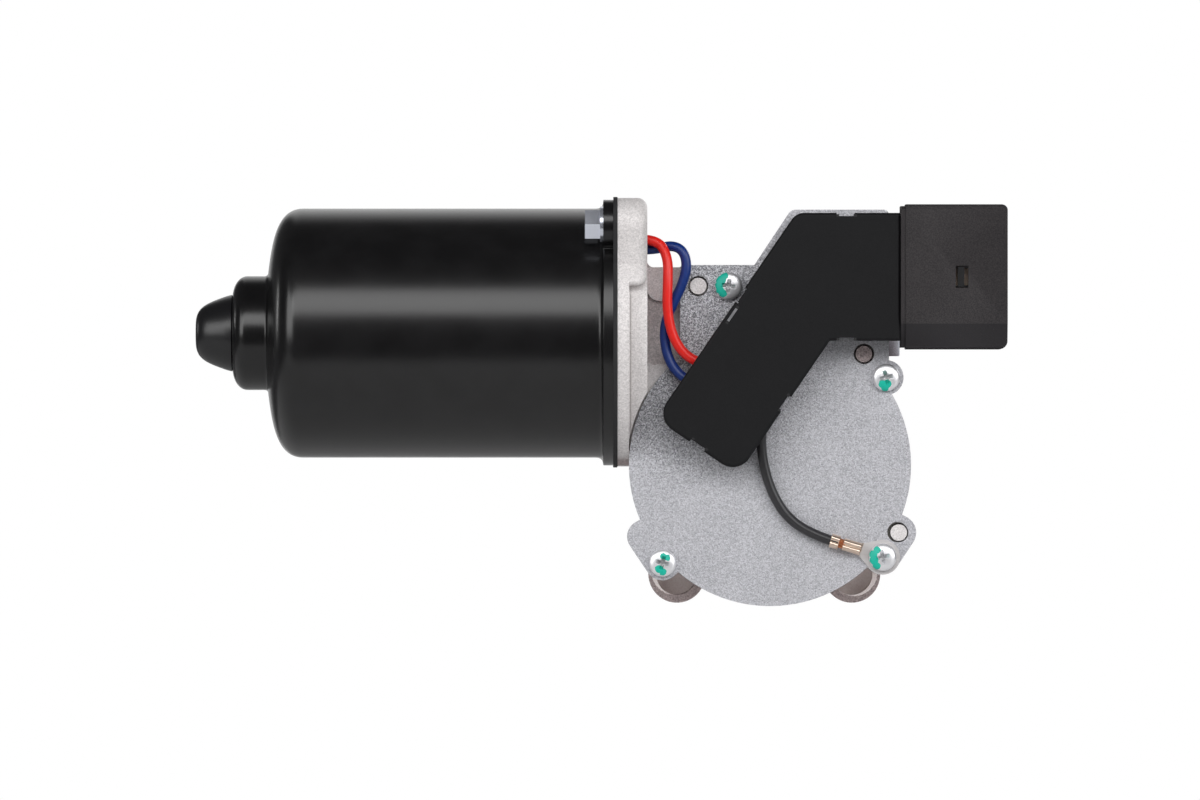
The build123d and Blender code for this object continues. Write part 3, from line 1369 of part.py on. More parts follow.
def connector_hood():
    """Moulded connector: collar, hood open to the right and a tongue under the cover."""
    hood = along(hood_face(0), HOOD_X, HOOD_MOUTH_X)
    hood += along(hood_face(HOOD_COLLAR_INSET), HOOD_X - HOOD_COLLAR, HOOD_X)
    hood += box_between(
        (TONGUE_X, tongue_front_y(), COVER_LEVEL_Z - TONGUE_HEIGHT / 2),
        (HOOD_X, PLATE_FRONT_Y, COVER_LEVEL_Z + TONGUE_HEIGHT / 2),
    )
    hood -= along(hood_face(HOOD_WALL), SOCKET_X, HOOD_MOUTH_X + 1)
    window_x = HOOD_MOUTH_X - LATCH_FROM_MOUTH
    hood -= box_between(
        (window_x, HOOD_FRONT_Y - 1, COVER_LEVEL_Z - LATCH_WINDOW_HEIGHT / 2),
        (window_x + LATCH_WINDOW, HOOD_FRONT_Y + 1 + HOOD_WALL, COVER_LEVEL_Z + LATCH_WINDOW_HEIGHT / 2),
    )
    gap = SEAT_GAP
    for z in blade_places():
        hood -= box_between(
            (TONGUE_X - 1, BLADE_Y - gap, z - BLADE_WIDTH / 2 - gap),
            (SOCKET_X + 1, BLADE_Y + BLADE_THICKNESS + gap, z + BLADE_WIDTH / 2 + gap),
        )
    return hood


def terminal_blades():
    """Five tinned blades through the connector's back wall."""
    blades = []
    for z in blade_places():
        tip_x = SOCKET_X + BLADE_REACH
        half = BLADE_WIDTH / 2
        face = outline(
            (TONGUE_X, z - half),
            (tip_x - BLADE_TIP, z - half),
            (tip_x, z - half + BLADE_TIP),
            (tip_x, z + half - BLADE_TIP),
            (tip_x - BLADE_TIP, z + half),
            (TONGUE_X, z + half),
        )
        blades.append(across(face, BLADE_Y, BLADE_Y + BLADE_THICKNESS))
    return Compound(blades)


def lead(route, name):
    """A lead's plain tube: straight runs joined by arcs as large as the runs allow."""
    points = [Vector(*point) for point in route]
    radii = []
    for before, at, after in zip(points, points[1:], points[2:]):
        turn = math.radians((at - before).get_angle(after - at))
        run = min((at - before).length, (after - at).length)
        radii.append(ARC_SHARE * run / math.tan(turn / 2))
    path = FilletPolyline(*points, radius=radii)
    section = RegularPolygon(LEAD_R, LEAD_SIDES)
    tube = sweep(Plane(origin=path @ 0, z_dir=path % 0) * section, path=path)
    share = tube.volume / (section.area * path.length)
    print(name, "length", round(path.length, 1), "volume share", round(share, 4))
    print(name, "radii", [round(radius, 1) for radius in radii])
    return tube


def ring_terminal():
    """Ring tongue under the lower right screw, crimped round the ground lead's end."""
    x, z = cover_screw_places()[3]
    end = Vector(*GROUND_ROUTE[-1])
    before = Vector(*GROUND_ROUTE[-2])
    way = (end - before).normalized()
    barrel = Plane(origin=end - way * CRIMP_GRIP, z_dir=way)
    crimp = extrude(barrel * Circle(CRIMP_R), CRIMP_LENGTH)
    crimp -= extrude(barrel * Circle(LEAD_R + SEAT_GAP), CRIMP_GRIP)
    neck = barrel.origin + way * (CRIMP_LENGTH - TONGUE_NECK_R / 2)
    tongue = bridge((RING_TERMINAL_R, (x, z)), (TONGUE_NECK_R, (neck.X, neck.Z)))
    tongue -= disc(COVER_SCREW_R + RING_HOLE_GAP, (x, z))
    flat = across(tongue, PLATE_FRONT_Y - RING_TERMINAL, PLATE_FRONT_Y)
    return crimp + flat


def tip_bush():
    """Sintered bush of the worm's tip."""
    bore = TIP_JOURNAL_R + RUNNING_GAP
    start, end = TIP_BUSH_X + SEAT_GAP, TIP_BUSH_X + TIP_BUSH_LENGTH
    return turned_on_motor((start, bore), (start, TIP_BUSH_R), (end, TIP_BUSH_R), (end, bore))


def thrust_screw():
    """Adjusting screw that takes up the armature's end play."""
    start = SHAFT_TIP_X + THRUST_GAP
    end = CASE_RIGHT_X + LOCK_NUT + THRUST_SCREW_PROUD
    screw = turned_on_motor(
        (start, 0),
        (start, THRUST_SCREW_R - THRUST_SCREW_CHAMFER),
        (start + THRUST_SCREW_CHAMFER, THRUST_SCREW_R),
        (end, THRUST_SCREW_R),
        (end, 0),
    )
    slot = Rectangle(THRUST_SCREW_SLOT, 3 * THRUST_SCREW_R)
    return screw - along(slot, end - THRUST_SCREW_SLOT, end + 1)


def lock_nut():
    """Hexagon nut that locks the thrust screw."""
    face = RegularPolygon(LOCK_NUT_ACROSS / 2, 6, major_radius=False) - disc(THRUST_SCREW_R + SEAT_GAP)
    return along(face, CASE_RIGHT_X, CASE_RIGHT_X + LOCK_NUT)


PARTS = {
    "motor_can": motor_can(),
    "nose_cap": nose_cap(),
    "rear_bush": rear_bush(),
    "bush_retainer": bush_retainer(),
    "magnets": magnets(),
    "magnet_clips": magnet_clips(),
    "armature_shaft": armature_shaft(),
    "armature_core": armature_core(),
    "armature_windings": armature_windings(),
    "commutator_bars": commutator_bars(),
    "commutator_hub": commutator_hub(),
    "bearing_inner_ring": bearing_inner_ring(),
    "bearing_outer_ring": bearing_outer_ring(),
    "bearing_clip": bearing_clip(),
    "brush_plate": brush_plate(),
    "brush_holders": brush_holders(),
    "choke_coils": choke_coils(),
    "can_gasket": can_gasket(),
    "can_screws": can_screws(),
    "gear_housing": gear_housing(),
    "lead_grommet": lead_grommet(),
    "tip_bush": tip_bush(),
    "thrust_screw": thrust_screw(),
    "lock_nut": lock_nut(),
    "worm_wheel": worm_wheel(),
    "output_shaft": output_shaft(),
    "inner_bush": output_bush(FLOOR_Y),
    "outer_bush": output_bush(outer_bush_y()),
    "shaft_seal": shaft_seal(),
    "thrust_washer": thrust_washer(),
    "output_shim": output_shim(),
    "retaining_clip": retaining_clip(),
    "contact_ring": contact_ring(),
    "contact_carrier": contact_carrier(),
    "contact_fingers": contact_fingers(),
    "contact_rivets": contact_rivets(),
    "plate_gasket": plate_gasket(),
    "cover_plate": cover_plate(),
    "cover_screws": cover_screws(),
    "terminal_cover": terminal_cover(),
    "terminal_tray": terminal_tray(),
    "bus_strips": bus_strips(),
    "connector_hood": connector_hood(),
    "terminal_blades": terminal_blades(),
    "red_lead": lead(RED_ROUTE, "red_lead"),
    "blue_lead": lead(BLUE_ROUTE, "blue_lead"),
    "ground_lead": lead(GROUND_ROUTE, "ground_lead"),
    "ring_terminal": ring_terminal(),
}
for name, angle in zip(BRUSH_NAMES, BRUSH_ANGLES):
    PARTS[name] = brush(angle)
    PARTS[name + "_spring"] = brush_spring(angle)

os.makedirs("parts", exist_ok=True)
for name, solid in PARTS.items():
    export_step(solid, f"parts/{name}.step")
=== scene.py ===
# %% [markdown]
# # A geared wiper motor, dressed for its picture
#
# The engineering model fixes every size. This lesson wraps it in finishes, adds the small forms
# that a solid model leaves out, and lights it as a studio would. Lengths are in metres, and a
# value in millimetres is multiplied by MM.

# %% Load the solid model
import json
import math

import bmesh
import bpy
from mathutils import Matrix, Vector

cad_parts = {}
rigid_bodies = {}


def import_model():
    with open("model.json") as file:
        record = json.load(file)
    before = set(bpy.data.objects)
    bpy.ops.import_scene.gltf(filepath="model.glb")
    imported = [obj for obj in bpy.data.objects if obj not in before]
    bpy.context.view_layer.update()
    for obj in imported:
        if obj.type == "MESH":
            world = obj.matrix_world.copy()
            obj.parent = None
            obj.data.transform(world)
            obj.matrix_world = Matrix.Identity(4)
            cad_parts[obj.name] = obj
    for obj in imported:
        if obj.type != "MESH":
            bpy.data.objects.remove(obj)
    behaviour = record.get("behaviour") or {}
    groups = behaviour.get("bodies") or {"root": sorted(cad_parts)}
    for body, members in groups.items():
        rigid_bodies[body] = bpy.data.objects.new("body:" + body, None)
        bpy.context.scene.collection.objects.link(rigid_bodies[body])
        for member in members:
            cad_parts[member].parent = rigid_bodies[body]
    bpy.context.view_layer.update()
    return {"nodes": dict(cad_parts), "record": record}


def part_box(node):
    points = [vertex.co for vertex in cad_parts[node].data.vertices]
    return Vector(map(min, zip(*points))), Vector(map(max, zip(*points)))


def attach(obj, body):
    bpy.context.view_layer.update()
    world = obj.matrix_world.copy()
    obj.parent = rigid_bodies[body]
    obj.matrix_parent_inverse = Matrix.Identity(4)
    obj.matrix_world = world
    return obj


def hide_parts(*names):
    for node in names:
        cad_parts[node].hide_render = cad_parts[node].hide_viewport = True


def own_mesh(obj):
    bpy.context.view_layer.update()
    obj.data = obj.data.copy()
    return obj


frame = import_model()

MM = 0.001
slot_of = {row["node"]: row["material_slot"] for row in frame["record"]["subparts"]}
bodies = frame["record"]["behaviour"]["bodies"]
body_of = {node: body for body, nodes in bodies.items() for node in nodes}

# %% [markdown]
# ## The camera
#
# The motor was photographed square on from far away, so that no side face shows. A very long lens
# does that too, and it keeps the slight change of angle that makes reflections run across a flat
# face. So the camera stands 4 m off, and its lens follows from the width that it has to take in.

# %% Set the camera
VIEW_CENTRE = Vector((-47.6 * MM, -40.1 * MM, 18.2 * MM))
FRAME_WIDTH = 336 * MM
CAMERA_DISTANCE = 4.0
SENSOR_WIDTH = 36.0


def add(name, data):
    """Puts a new object in the scene."""
    made = bpy.data.objects.new(name, data)
    bpy.context.scene.collection.objects.link(made)
    return made


camera_data = bpy.data.cameras.new("camera")
camera_data.sensor_width = SENSOR_WIDTH
camera_data.lens = SENSOR_WIDTH * CAMERA_DISTANCE / FRAME_WIDTH
camera = add("camera", camera_data)
camera.location = VIEW_CENTRE - Vector((0, CAMERA_DISTANCE, 0))
camera.rotation_euler = (math.radians(90), 0, 0)
bpy.context.scene.camera = camera
bpy.context.scene.view_settings.view_transform = "Standard"
print("lens", round(camera_data.lens, 1), "mm")

# %% [markdown]
# ## Writing node trees as sums
#
# A finish is mostly arithmetic on patterns, and a row of Math nodes is hard to read. One small
# class wraps an output socket, so that Python's own signs add the nodes: `1 - mask` or
# `grain * 0.2 + 0.4`. Every other node comes from one method, which takes the node's type, the
# values or links of its sockets, and its settings. Shader nodes go by their short names there.

# %% Wrap the sockets
class Wire:
    """An output socket that can be added, multiplied and divided."""

    def __init__(self, graph, socket):
        self.graph = graph
        self.socket = socket

    def math(self, operation, *others):
        inputs = dict(enumerate([self, *others]))
        return self.graph.node("Math", inputs, operation=operation)

    def __add__(self, other):
        return self.math("ADD", other)

    def __sub__(self, other):
        return self.math("SUBTRACT", other)

    def __rsub__(self, other):
        return self.graph.node("Math", {0: other, 1: self}, operation="SUBTRACT")

    def __mul__(self, other):
        return self.math("MULTIPLY", other)

    def __truediv__(self, other):
        return self.math("DIVIDE", other)

    def between(self, low, high):
        """0 below low, 1 above high, and a soft step from one to the other."""
        inputs = {"Value": self, 1: low, 2: high}
        return self.graph.node("MapRange", inputs, interpolation_type="SMOOTHSTEP")

    def band(self, rise, fall):
        """1 between two soft steps, and 0 on either side of them."""
        return self.between(*rise) * (1 - self.between(*fall))

    def spread(self):
        """Noise keeps near its middle value; this draws it out to run from 0 to 1."""
        return self.between(0.3, 0.7)


class Tree:
    """A node tree that gets its nodes one call at a time."""

    def __init__(self, tree):
        self.tree = tree

    def node(self, kind, inputs=None, out=0, **settings):
        """Adds a node with its inputs and its settings, and returns one output."""
        made = self.tree.nodes.new(kind if "Node" in kind else "ShaderNode" + kind)
        for name, value in settings.items():
            setattr(made, name, value)
        for name, value in (inputs or {}).items():
            if isinstance(value, Wire):
                self.tree.links.new(value.socket, made.inputs[name])
            else:
                made.inputs[name].default_value = value
        return Wire(self, made.outputs[out]) if made.outputs else None

    def parts(self, vector):
        """The three coordinates of a vector."""
        first = self.node("SeparateXYZ", {0: vector})
        return [Wire(self, output) for output in first.socket.node.outputs]


SPOT_BLUR = 0.08 * MM


class Graph(Tree):
    """The nodes of a material or of the world."""

    def __init__(self, owner):
        owner.use_nodes = True
        owner.node_tree.nodes.clear()
        super().__init__(owner.node_tree)

    def mix(self, factor, first, second):
        """A colour between two colours."""
        colours = {6: first if isinstance(first, Wire) else (*first, 1),
                   7: second if isinstance(second, Wire) else (*second, 1)}
        return self.node("Mix", {0: factor, **colours}, out=2, data_type="RGBA")

    def place(self):
        """The point on the piece, in metres, in the frame that all pieces share."""
        return self.node("TexCoord", out="Object")

    def noise(self, size, detail=2.0, rough=0.5, stretch=(1, 1, 1), out="Fac"):
        """Cloudy noise whose lumps are about as large as the size."""
        scaled = self.node("Mapping", {"Vector": self.place(), "Scale": stretch})
        values = {"Vector": scaled, "Scale": 1 / size, "Detail": detail, "Roughness": rough}
        return self.node("TexNoise", values, out=out)

    def cells(self, size):
        """Small cells, each with a random brightness."""
        values = {"Vector": self.place(), "Scale": 1 / size}
        colour = self.node("TexVoronoi", values, out="Color")
        return self.node("SeparateColor", {0: colour})

    def away(self, x, z):
        """How far a point is, seen from the front, from a point of the XZ plane."""
        values = {0: self.place(), 1: (1, 0, 1)}
        flat = self.node("VectorMath", values, operation="MULTIPLY")
        ends = {0: flat, 1: (x, 0, z)}
        return self.node("VectorMath", ends, out="Value", operation="DISTANCE")

    def spot(self, x, z, radius, ragged=0.0):
        """1 inside a round spot in the XZ plane, with a ragged edge, and 0 outside."""
        wander = (self.noise(0.9 * MM, detail=3) - 0.5) * (2 * ragged)
        near, far = radius - SPOT_BLUR, radius + SPOT_BLUR
        return 1 - (self.away(x, z) + wander).between(near, far)

    def spots(self, places, ragged):
        """The sum of some spots, each given as X, Z and radius in millimetres."""
        total = 0
        for x, z, radius in places:
            total = self.spot(x * MM, z * MM, radius * MM, ragged) + total
        return total

    def end(self, surface, kind="OutputMaterial"):
        self.node(kind, {"Surface": surface})

    def close(self, colour, roughness, height, depth, metallic=0.0, gleam=0.5):
        """Ends a finish in one Principled shader, with relief as high as the depth in metres."""
        normal = self.node("Bump", {"Height": height, "Distance": depth})
        values = {"Base Color": colour, "Roughness": roughness, "Metallic": metallic}
        values |= {"Specular IOR Level": gleam, "Normal": normal}
        self.end(self.node("BsdfPrincipled", values))


print("ready:", Wire.__name__, Tree.__name__, Graph.__name__)

# %% [markdown]
# ## Studio light
#
# Black gloss paint shows its surroundings more than itself. In the picture the can carries one soft
# band above its middle, is almost black over that, and is a little lighter below. So there is one
# wide softbox in front and above, and a dark room. The two fill lamps stand far to the sides, where
# the can's long face can't show them. A small, weak strip behind on the left draws a line on the
# can's rounded end, and a lamp behind on the right lights the back. A pale floor ends just before
# the can would show its far part, and white behind catches the rims.

# %% Light the studio
SOFTBOX_ANGLE = math.radians(29)
SOFTBOX_DISTANCE = 1.25
SOFTBOX_UP = (0, -math.cos(SOFTBOX_ANGLE), math.sin(SOFTBOX_ANGLE))
AIM = Vector((-50 * MM, -25 * MM, 20 * MM))
# For each lamp its place, as seen from the point that it aims at, its size and its power.
LAMPS = {
    "front_softbox": (Vector(SOFTBOX_UP) * SOFTBOX_DISTANCE, (1.9, 0.5), 11.5),
    "left_fill": (Vector((-1.15, -0.85, 0.35)), (0.8, 0.8), 7.0),
    "right_fill": (Vector((1.15, -0.85, 0.35)), (0.8, 0.8), 7.0),
    "left_strip": (Vector((-1.04, 0.67, 0.14)), (0.06, 0.22), 0.3),
    "rear_softbox": (Vector((0.9, 1.1, 0.5)), (0.7, 0.6), 6.0),
}
WHITE = (1.0, 1.0, 1.0)
DARK_ROOM = (0.06, 0.06, 0.062)
FLOOR_Z = -0.135
FLOOR_SIDE = 0.8
FLOOR_FRONT = -0.41
FLOOR_BACK = 0.6
FLOOR_TONE = 0.80
FLOOR_LIFT = 0.45

world = bpy.data.worlds.new("studio")
bpy.context.scene.world = world
sky = Graph(world)
way = sky.node("TexCoord", out="Generated")
across, along = sky.parts(way)[:2]
back = along.between(0.5, 0.9) * (1 - across.math("ABSOLUTE").between(0.14, 0.34))
surround = sky.mix(back, DARK_ROOM, WHITE)
seen = sky.node("LightPath", out="Is Camera Ray")
tone = sky.mix(seen, surround, WHITE)
glow = sky.node("Background", {"Color": tone, "Strength": 1.0})
sky.end(glow, "OutputWorld")

for name, (offset, size, power) in LAMPS.items():
    data = bpy.data.lights.new(name, "AREA")
    data.shape = "RECTANGLE"
    data.size, data.size_y = size
    data.energy = power
    lamp = add(name, data)
    lamp.location = AIM + offset
    lamp.rotation_euler = (-offset).to_track_quat("-Z", "Y").to_euler()

corners = ((-1, FLOOR_FRONT), (1, FLOOR_FRONT), (1, FLOOR_BACK), (-1, FLOOR_BACK))
corners = [(side * FLOOR_SIDE, y, FLOOR_Z) for side, y in corners]
floor_mesh = bpy.data.meshes.new("floor")
floor_mesh.from_pydata(corners, [], [(0, 1, 2, 3)])
floor = add("floor", floor_mesh)
floor_material = bpy.data.materials.new("pale_floor")
paper = Graph(floor_material)
matt = paper.node("BsdfDiffuse", {"Color": (FLOOR_TONE, FLOOR_TONE, FLOOR_TONE, 1)})
lift = paper.node("Emission", {"Color": (*WHITE, 1), "Strength": FLOOR_LIFT})
both = paper.node("AddShader", {0: matt, 1: lift})
seen = paper.node("LightPath", out="Is Camera Ray")
paper.end(paper.node("MixShader", {0: seen, 1: matt, 2: both}))
floor_mesh.materials.append(floor_material)
print("lamps", len(LAMPS), "and a floor at", FLOOR_Z)

# %% [markdown]
# ## Finishes
#
# Each finish is a small function of patterns on Object coordinates, so that it sits still on the
# piece in every view. A finish is one Principled shader. What stays the same all over a surface is
# typed into its socket, and what varies is linked.

# %% Keep the finishes
finishes = {}


def new_finish(name):
    """Starts a finish, and keeps its material under its name."""
    finishes[name] = bpy.data.materials.new(name)
    return Graph(finishes[name])


print("finishes so far", len(finishes))

# %% [markdown]
# The can is deep drawn steel under black gloss paint. A mirror would show the softbox with hard
# edges, but the picture shows soft ones: the paint has a fine orange peel and a slight haze. So the
# roughness is moderate and changes a little from place to place, and a fine noise bends the normal
# by a few thousandths of a millimetre.

# %% Black gloss paint
g = new_finish("black_paint")
cloud = g.noise(9 * MM, detail=3)
peel = g.noise(0.9 * MM, detail=2)
paint = g.mix(cloud.spread(), (0.0045, 0.0043, 0.0046), (0.0070, 0.0068, 0.0072))
g.close(paint, roughness=cloud * 0.05 + 0.215, height=peel, depth=0.004 * MM)
print("painted", list(finishes))

# %% [markdown]
# The cover plate is zinc coated sheet with a coarse, sparkling grain: neighbouring crystals turn
# their faces to the light in different ways. Plain noise alone looks like fog. Small random cells
# give each crystal its own brightness, and a little noise breaks up their edges. Near the leads
# painted shade makes the sheet darker and its grain stronger, and a dark ring of painted shade lies
# in the gap round each stud end.

# %% Grained zinc sheet
# Painted shade: a soft patch round this point, near the leads, darkens the sheet and strengthens its
# grain.
PLATE_SHADE = (-22 * MM, 34 * MM)
PLATE_SHADE_NEAR = 12 * MM
PLATE_SHADE_FAR = 46 * MM
STUDS = ((-20.1, 50.1, 2.5), (26.3, 31.1, 2.5), (35.7, -18.8, 2.5))
# How far past each stud end's radius the ring of painted shade in the gap reaches, in millimetres.
STUD_GAP_SHADE_WIDTH = 0.35

g = new_finish("zinc_steel")
crystals = g.cells(0.36 * MM)
specks = g.noise(0.34 * MM, detail=2, rough=0.6)
patches = g.noise(14 * MM, detail=3)
# Painted shade near the leads: a darker sheet with a stronger grain.
painted_plate_shade = 1 - g.away(*PLATE_SHADE).between(PLATE_SHADE_NEAR, PLATE_SHADE_FAR)
grain = (crystals * 0.5 + specks.spread() * 0.5) * (painted_plate_shade * 1.7 + 0.9) - painted_plate_shade * 0.95 + 0.04
tone = grain * 0.85 + patches * 0.15
# Painted shade in the gap round each stud end: a dark ring.
stud_gap_shade = g.spots([(x, z, radius + STUD_GAP_SHADE_WIDTH) for x, z, radius in STUDS], 0.1 * MM)
unshaded = g.mix(tone, (0.21, 0.21, 0.23), (0.76, 0.76, 0.80))
sheet = g.mix(stud_gap_shade, unshaded, (0.05, 0.045, 0.04))
g.close(sheet, roughness=0.62 - grain * 0.2, height=grain, depth=0.05 * MM, metallic=0.35)
print("stud ends", len(STUDS))

# %% [markdown]
# The casting comes out of a steel die and is blasted, which leaves a fine, even sand grain. It is
# lighter and warmer than the sheet, and its grain has less contrast. Painted shade, tinted warm like
# bounced light, darkens the deep places behind the plate's plane and one stud, but not the tab beside
# the flange, and painted light brightens the floors of the two lug cups. A thin dark line of painted
# shade runs along the step beside the flange.

# %% Sand grained casting
# The tab that the painted shade leaves out, and the lug cups whose floors get painted light.
UNSHADED_TAB = (-33.5, 23.0, 5.5)
LUG_CUPS = ((-26.6, -30.0, 6.5), (23.8, -30.4, 6.5))
# Bands in depth or height for the painted shade, the cups' painted light and the line of painted
# shade.
PAINTED_SHADE_BAND = ((-39 * MM, -34 * MM), (-22 * MM, -6 * MM))
LIT_CUP_BAND = ((-36.5 * MM, -34 * MM), (-16 * MM, -12 * MM))
TAB_FADE = (-32 * MM, -28 * MM)
STUD_FADE = (-36 * MM, -34 * MM)
SHADE_LINE_BAND = ((4 * MM, 12 * MM), (47 * MM, 50 * MM))
SHADE_LINE_X = -39.05 * MM
SHADE_LINE_WIDTH = 0.22 * MM
# The colour of the pits, and of the thin line of painted shade.
PIT_AND_SHADE_TONE = (0.22, 0.19, 0.18)

g = new_finish("cast_aluminium")
sand = g.noise(0.40 * MM, detail=2, rough=0.6)
blasted = g.cells(0.42 * MM)
flow = g.noise(11 * MM, detail=4, stretch=(1, 1, 0.6))
pits = g.noise(1.3 * MM, detail=3).between(0.66, 0.74)
side, depth, height = g.parts(g.place())
# Painted shade, tinted warm like bounced light, on the deep places and one stud, but not on the tab.
unshaded = g.spots([UNSHADED_TAB], 1 * MM) * (1 - depth.between(*TAB_FADE))
shaded_stud = g.spots(STUDS[1:2], 0.1 * MM) * (1 - depth.between(*STUD_FADE))
cast_shade = depth.band(*PAINTED_SHADE_BAND) * (1 - unshaded) + shaded_stud
# Painted light: the floors of the two lug cups get a very bright colour.
cups = g.spots(LUG_CUPS, 0.3 * MM) * depth.band(*LIT_CUP_BAND)
# Painted shade: a thin dark line along the step beside the flange.
shade_line = 1 - (side - SHADE_LINE_X).math("ABSOLUTE").between(SHADE_LINE_WIDTH / 2, SHADE_LINE_WIDTH)
shade_line = shade_line * (1 - cast_shade) * height.band(*SHADE_LINE_BAND)
tone = sand.spread() * 0.4 + blasted * 0.35 + flow * 0.25
plain_cast = g.mix(tone, (0.50, 0.475, 0.47), (0.90, 0.865, 0.86))
shaded_cast = g.mix(tone, (0.12, 0.095, 0.093), (0.66, 0.55, 0.545))
painted_light_cup_floor = g.mix(tone, (0.84, 0.75, 0.73), (1.0, 0.94, 0.92))
cast = g.mix(pits * 0.35 + shade_line * 0.6, g.mix(cast_shade, plain_cast, shaded_cast), PIT_AND_SHADE_TONE)
cast = g.mix(cups, cast, painted_light_cup_floor)
relief = sand - pits * 0.6
g.close(cast, roughness=0.66 - sand * 0.12, height=relief, depth=0.05 * MM, metallic=0.15)
print("lug cups", len(LUG_CUPS))

# %% [markdown]
# The mouldings differ by their tool. The terminal cover is smooth and matt, with hardly any light
# in it. The connector's tool was spark eroded, so its skin is finely pebbled and looks greyer, and
# painted shade darkens its lower bevel.

# %% Moulded plastics
# Below this height painted shade darkens the connector's skin, over a soft step as wide as the next
# value.
HOOD_BEVEL_Z = 39.3 * MM
SHADE_EDGE_WIDTH = 0.3 * MM


def moulding(name, dark, light, pebble, depth, roughness, gleam=0.5, painted_shade_below=None):
    """A matt plastic with fine pebbles and faint clouds; gleam is its specular level.

    Below a height, if one is given, painted shade makes the skin darker.
    """
    g = new_finish(name)
    skin = g.noise(pebble, detail=2, rough=0.6)
    cloud = g.noise(12 * MM, detail=2)
    tone = skin.spread() * 0.6 + cloud * 0.4
    # Painted shade: the tone drops below the given height.
    if painted_shade_below is not None:
        height = g.parts(g.place())[2]
        tone = tone + height.between(painted_shade_below, painted_shade_below + SHADE_EDGE_WIDTH) * 1.2 - 1.2
    g.close(g.mix(tone, dark, light), roughness - skin * 0.08, skin, depth, gleam=gleam)


# Dark and light colour, size and depth of the pebbles in millimetres, and roughness. Some also have
# a gleam, and the connector's finish has the height under which painted shade darkens it.
MOULDINGS = {
    "black_moulding": ((0.006, 0.006, 0.0068), (0.010, 0.010, 0.011), 0.25, 0.006, 0.60, 0.16),
    "nose_moulding": ((0.006, 0.006, 0.007), (0.010, 0.010, 0.011), 0.5, 0.004, 0.36),
    "textured_moulding": (
        (0.016, 0.0145, 0.0165), (0.046, 0.041, 0.042), 0.30, 0.035, 0.80, 0.3, HOOD_BEVEL_Z,
    ),
    "brown_moulding": ((0.13, 0.055, 0.022), (0.19, 0.085, 0.036), 0.35, 0.01, 0.5),
    "white_moulding": ((0.70, 0.66, 0.56), (0.80, 0.77, 0.68), 0.6, 0.006, 0.42),
    "black_rubber": ((0.010, 0.010, 0.011), (0.018, 0.018, 0.019), 0.22, 0.02, 0.85),
}
for name, (dark, light, pebble, depth, *rest) in MOULDINGS.items():
    moulding(name, dark, light, pebble * MM, depth * MM, *rest)
print("mouldings", len(MOULDINGS))

# %% [markdown]
# Wire insulation is extruded: smooth, with a soft gloss and faint streaks along the wire. The
# streaks need no direction here, because they are too fine to follow.

# %% Wire insulation
def insulation(name, dark, light):
    """A smooth extruded plastic."""
    g = new_finish(name)
    streak = g.noise(1.1 * MM, detail=3)
    g.close(g.mix(streak, dark, light), streak * 0.1 + 0.33, streak, 0.006 * MM)


insulation("red_insulation", (0.80, 0.010, 0.006), (0.94, 0.018, 0.010))
insulation("blue_insulation", (0.0006, 0.021, 0.15), (0.0015, 0.034, 0.24))
insulation("black_insulation", (0.018, 0.017, 0.019), (0.030, 0.029, 0.032))
print("finishes so far", len(finishes))

# %% [markdown]
# Bare metals share one recipe: a metal's tint, and marks of how it was made. Noise that is
# stretched along one axis gives rolling or grinding lines, and noise of equal sides gives a
# tumbled or plated look.

# %% Bare metals
def bare_metal(name, dark, light, size, stretch, roughness, depth, metallic=1.0):
    """A metal with marks as large as the size, drawn out by the stretch."""
    g = new_finish(name)
    marks = g.noise(size, detail=4, rough=0.6, stretch=stretch)
    stain = g.noise(6 * MM, detail=3)
    tint = g.mix(marks * 0.6 + stain * 0.4, dark, light)
    g.close(tint, marks * 0.16 + roughness, marks, depth, metallic=metallic)


ROUND_MARKS = (1, 1, 1)
LINES_ALONG_X = (0.05, 1, 1)
LINES_ALONG_Y = (1, 0.05, 1)
RINGS_ALONG_X = (14, 0.4, 0.4)
# Dark and light colour, size of the marks in millimetres, their stretch, roughness and the marks'
# depth in millimetres. The plated zinc isn't fully metallic.
METALS = {
    "bright_zinc": ((0.72, 0.75, 0.84), (0.84, 0.87, 0.95), 2.4, ROUND_MARKS, 0.14, 0.002, 0.8),
    "ground_steel": ((0.42, 0.42, 0.43), (0.62, 0.62, 0.63), 0.5, LINES_ALONG_Y, 0.20, 0.004),
    "spring_steel": ((0.30, 0.30, 0.32), (0.46, 0.46, 0.48), 0.6, LINES_ALONG_X, 0.28, 0.004),
    "lamination_steel": ((0.16, 0.16, 0.17), (0.42, 0.41, 0.41), 1.2, RINGS_ALONG_X, 0.40, 0.03),
    "ferrite": ((0.045, 0.045, 0.048), (0.09, 0.09, 0.095), 0.5, LINES_ALONG_X, 0.55, 0.01),
    "sintered_bronze": ((0.28, 0.17, 0.08), (0.50, 0.33, 0.17), 0.35, ROUND_MARKS, 0.42, 0.02),
    "copper": ((0.50, 0.17, 0.07), (0.78, 0.34, 0.17), 0.5, LINES_ALONG_X, 0.30, 0.02),
    "brass": ((0.62, 0.43, 0.16), (0.80, 0.60, 0.28), 0.8, LINES_ALONG_X, 0.24, 0.005),
    "carbon": ((0.020, 0.020, 0.022), (0.05, 0.05, 0.054), 0.3, ROUND_MARKS, 0.45, 0.01),
}
for name, (dark, light, size, stretch, roughness, depth, *rest) in METALS.items():
    bare_metal(name, dark, light, size * MM, stretch, roughness, depth * MM, *rest)
print("bare metals", len(METALS))

# %% [markdown]
# The ring terminal is brass strip with a coat of tin. The flat ring keeps its dull grey tin, and
# the press has thinned it on the rolled barrels, where the brass shines through.

# %% Brass under worn tin
SCREW_SEATS = ((-11.6, 50.1), (32.5, 24.5), (-30.1, -27.4), (31.5, -25.8))
RING_SEAT = [value * MM for value in SCREW_SEATS[3]]
TIN_REACH = 6.4 * MM

